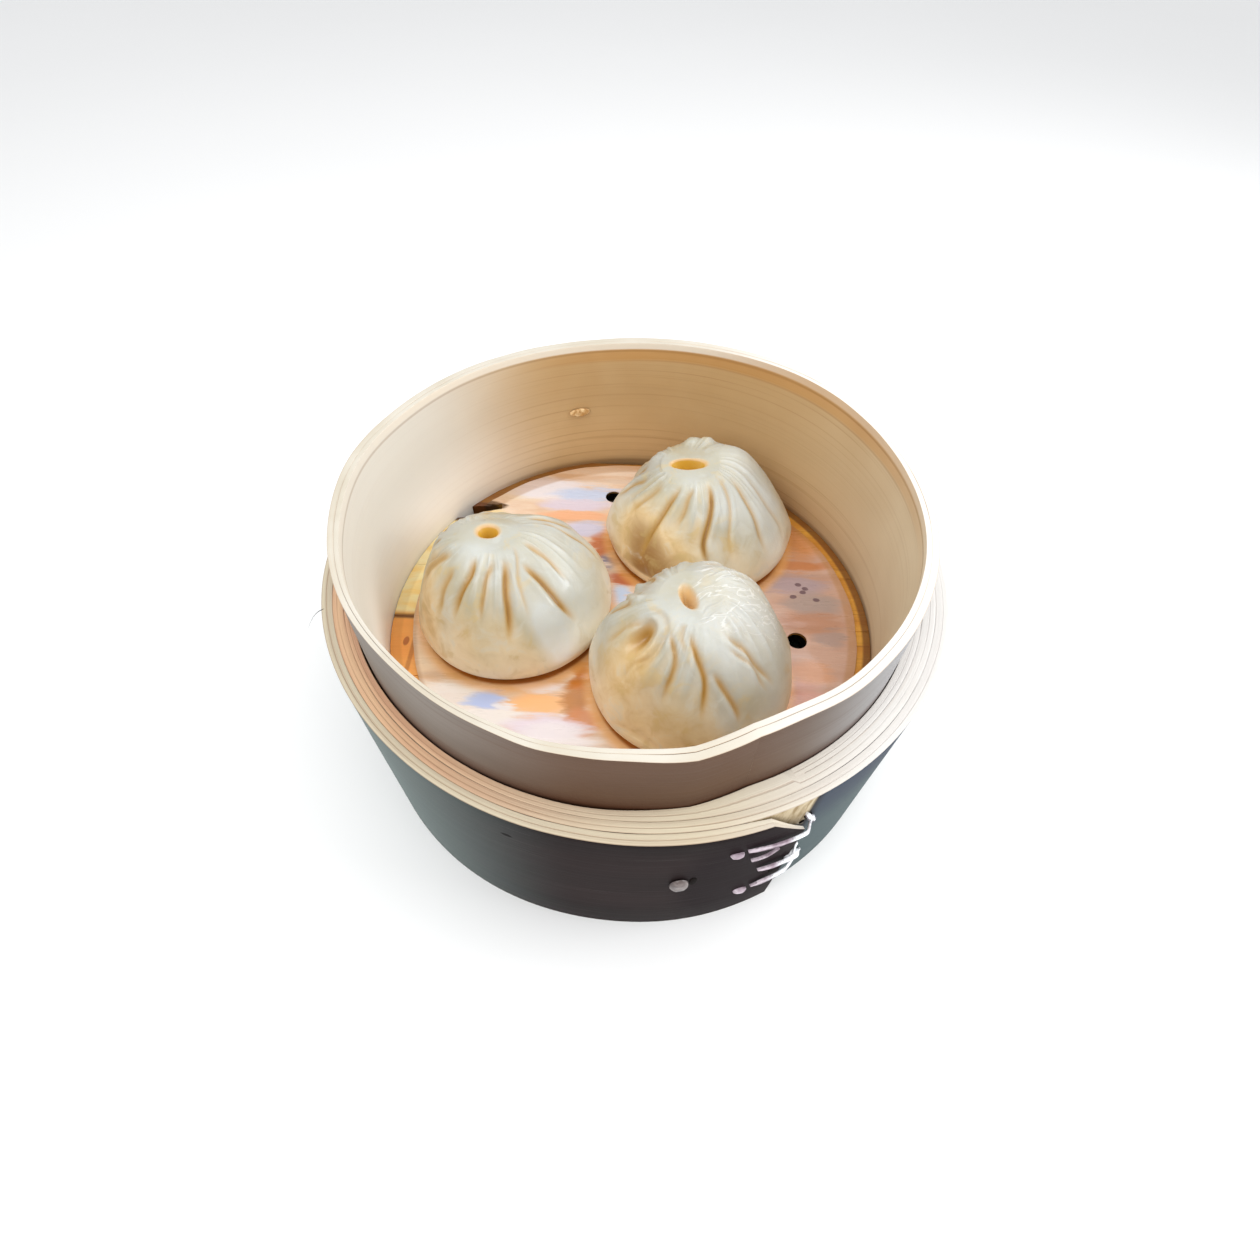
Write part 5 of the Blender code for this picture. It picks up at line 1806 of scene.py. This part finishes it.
# %% [markdown]
# Peeled rattan is smooth and pinkish, with long fibres, and its shine is broken where they part. Along
# the middle of each strand a silver highlight is painted, white at the upper end, and the violet along
# its sides is painted shade.
# The peg is of plainer cane and shows its dull end grain.

# %% Finish: silvery rattan and peg cane
def silvery_rattan():
    """Glossy rattan with long fibres: a painted silver highlight along each strand, white at its upper
    end, and painted violet shade along its sides.
    """
    finish = Finish("silvery_rattan", {"Specular IOR Level": 0.6, "Coat Roughness": 0.1})
    side = finish.layer("side")
    fibre = finish.grain(finish.place, 900.0, 3.0, 0.6, 0.4)
    cloud = finish.grain(finish.place, 260.0, 2.0, 0.5)
    # Painted highlight along the middle of each strand; the violet ground left at the sides is painted
    # shade.
    lit = abs(side - 0.14 + (fibre - 0.5) * 0.40).step(0.50, 0.30)
    finish.ground(cloud.step(0.35, 0.65), "806C78", "54404C")
    silver = finish.mix(cloud.step(0.4, 0.6), "D2C4CC", "A4909C")
    # Painted highlight: white at the lacing's upper end.
    end = finish.side.step(0.0325, 0.0350)
    finish.paint(lit, finish.mix(end, silver, "F4F6FA"))
    finish.paint(fibre.step(0.58, 0.75) * 0.5, "6A4C58")
    finish.set("Roughness", 0.28 + fibre * 0.15)
    finish.set("Coat Weight", 0.8 - cloud * 0.3)
    finish.bump(fibre, 0.0002, 0.5)
    return finish.done()


def peg_cane():
    """Dull pinkish-grey end grain of the peg, with dark flecks."""
    finish = Finish("peg_cane", {"Specular IOR Level": 0.5, "Coat Roughness": 0.2, "Roughness": 0.4})
    fleck = finish.grain(finish.place, 1400.0, 3.0, 0.6)
    cloud = finish.grain(finish.place, 420.0, 2.0)
    finish.ground(cloud.step(0.35, 0.65), "70625E", "4A3C3A")
    finish.paint(fleck.step(0.55, 0.75) * 0.5, "3E2A2E")
    finish.set("Coat Weight", 0.25 + cloud * 0.3)
    finish.bump(fleck + cloud, 0.0002, 0.6)
    return finish.done()


RATTAN = silvery_rattan()
set_peg(peg_cane())
for stitch in range(len(LACE_STRANDS)):
    lay_stitch(stitch, RATTAN)

# %% [markdown]
# Holes are drilled for the peg and the lacing: one beside the peg, two under the upper end of the lacing
# and one low down by the strip's end. Each is a shallow black dish set into the face, painted shade that
# stands for the depth of the hole. From the upper holes a short end of the lacing stands up, made of two
# strands side by side and painted bright white as a highlight.

# %% Holes and the lacing's upper end
HOLES = (
    # (name, direction in degrees, height, radius, how much taller than wide)
    ("peg_side_hole", 280.7, 0.0318, 0.0009, 2.6),
    ("lace_top_hole_1", 299.3, 0.0460, 0.0010, 1.0),
    ("lace_top_hole_2", 298.7, 0.0432, 0.0007, 1.0),
    ("lace_low_hole", 296.0, 0.0220, 0.0011, 1.6),
)
DISH_DEPTH = 0.00022
TOP_STRANDS = (
    # (start, end, widths at both, bow, twist)
    ((300.7, 0.0428), (298.3, 0.0486), (0.0040, 0.0022), 0.0, 1.0),
    ((301.0, 0.0428), (299.7, 0.0452), (0.0020, 0.0012), 0.0, 2.0),
)


def drilled_dark():
    """Nearly black: painted shade inside a hole, and the loose fibre's own colour."""
    finish = Finish("drilled_dark", {"Specular IOR Level": 0.1, "Roughness": 0.9})
    speck = finish.grain(finish.place, 1800.0)
    finish.ground(speck, "050404", "1A100C")
    finish.bump(speck, 0.0001, 0.5)
    return finish.done()


def set_hole(name, angle, height, radius, tall, finish):
    """Set a dark dish into the outer face of the hoop."""
    bm = bmesh.new()
    bmesh.ops.create_uvsphere(bm, u_segments=24, v_segments=12, radius=1.0)
    face = outer_radius(turns_outside(angle), 1.0, height)
    for vert in bm.verts:
        along, out, up = vert.co
        turn = angle + math.degrees(along * radius / face)
        place = height + up * radius * tall
        vert.co = outer_point(turn, face + out * DISH_DEPTH, place)
    set_down(bm, name, (finish,), ())


# Black that stands for the shade inside each hole; the loose fibre is this colour too.
DARK = drilled_dark()
for hole in HOLES:
    set_hole(*hole, DARK)

top_end = bmesh.new()
for strand in TOP_STRANDS:
    join_into(top_end, lay_strand(*strand))
set_down(top_end, "lace_top_end", (RATTAN,), ())

# %% [markdown]
# One fibre has sprung from the top edge of the outer hoop on the left. It is a round section drawn out
# along a short curve: the ring is extruded, moved and made smaller, a step at a time.

# %% Loose fibre
FIBRE_ANGLE = 197.6
FIBRE_ROOT = 0.0742
FIBRE_REACH = 0.0052
FIBRE_SWEEP = 2.6
FIBRE_THICKNESS = 0.00016


def fibre_course():
    """Return points that leave the hoop's top edge outwards and droop."""
    points = []
    for step in range(11):
        share = step / 10.0
        angle = FIBRE_ANGLE + FIBRE_SWEEP * share * share
        height = OUTER_TOP - 0.0006 + 0.0006 * math.sin(share * 2.6) - 0.0016 * share ** 3
        points.append(at_angle(FIBRE_ROOT + FIBRE_REACH * share, angle, height))
    return points


def draw_fibre(points, finish):
    """Extrude a small ring along a few points, getting thinner to the tip."""
    bm = bmesh.new()
    first = bmesh.ops.create_circle(bm, cap_ends=True, segments=8, radius=FIBRE_THICKNESS)
    ring = bm.faces[:]
    aim = (points[1] - points[0]).to_track_quat("Z", "Y").to_matrix()
    bmesh.ops.rotate(bm, cent=(0, 0, 0), matrix=aim, verts=first["verts"])
    bmesh.ops.translate(bm, vec=points[0], verts=first["verts"])
    for here, there in zip(points, points[1:]):
        made = bmesh.ops.extrude_face_region(bm, geom=ring)["geom"]
        bmesh.ops.delete(bm, geom=ring, context="FACES_ONLY")
        ring = [part for part in made if isinstance(part, bmesh.types.BMFace)]
        verts = [part for part in made if isinstance(part, bmesh.types.BMVert)]
        bmesh.ops.translate(bm, vec=there - here, verts=verts)
        bmesh.ops.scale(bm, vec=(0.86, 0.86, 0.86), space=Matrix.Translation(-there), verts=verts)
    root = [edge for edge in bm.edges if edge.is_boundary]
    bmesh.ops.contextual_create(bm, geom=root)
    set_down(bm, "loose_fibre", (finish,), ())


draw_fibre(fibre_course(), DARK)

# %% [markdown]
# The tie on the inside of the back wall is a short end of cane that comes through the strip and is
# pressed flat. It is lumpy, and paler than the wall.

# %% Tie
TIE_ANGLE = 106.8
TIE_HEIGHT = 0.0516
TIE_WIDTH = 0.0062
TIE_DEPTH = 0.0026
TIE_THICKNESS = 0.0009
TIE_CLEARANCE = 0.0003


def set_tie(finish):
    """Press the short tie against the inside of the back wall."""
    bm = eased_blank((-0.5, 0.0, -TIE_DEPTH / 2), (0.5, TIE_THICKNESS, TIE_DEPTH / 2), 0.00028)
    cut_lengths(bm, 27)
    for vert in bm.verts:
        angle = TIE_ANGLE + math.degrees(vert.co.x * TIE_WIDTH / INNER_BORE)
        wall = inner_radius(inner_share(TIE_ANGLE), 0.0, vert.co.z + TIE_HEIGHT) - TIE_CLEARANCE
        full = 0.25 + 0.75 * math.cos(math.pi * vert.co.x) ** 0.7
        lump = 1.0 + 0.35 * noise.noise(Vector((vert.co.x * 6.0, vert.co.z * 700.0, 0.0)))
        vert.co = at_angle(wall - vert.co.y * full * lump, angle, TIE_HEIGHT + vert.co.z * full)
    set_down(bm, "wall_tie", (finish,), ("tie",))


def pale_cane():
    """Pale lumpy cane with a soft shine."""
    finish = Finish("pale_cane", {"Specular IOR Level": 0.5, "Roughness": 0.4})
    cloud = finish.grain(finish.place, 700.0, 3.0)
    finish.ground(cloud.step(0.35, 0.65), "EBCB98", "B98A50")
    finish.bump(cloud, 0.0004, 0.6)
    return finish.done()


set_tie(pale_cane())

# %% [markdown]
# ## Studio floor
#
# The tier stands on a pale sheet, which throws light back up at it and takes its shadow. The sheet is
# part of the studio, so it isn't tied to the tier.

# %% Studio floor
SHEET_SIZE = 3.0


def lay_sheet():
    """Lay the pale sheet that the tier stands on."""
    finish = Finish("studio_floor", {"Roughness": 0.7, "Specular IOR Level": 0.2})
    finish.ground(finish.grain(finish.place, 3.0), "F2F2F1", "EEEEED")
    bm = bmesh.new()
    bmesh.ops.create_grid(bm, x_segments=1, y_segments=1, size=SHEET_SIZE)
    mesh = keep_mesh(bm, "studio_floor")
    mesh.materials.append(finish.done().material)
    put_in_scene("studio_floor", mesh)


lay_sheet()
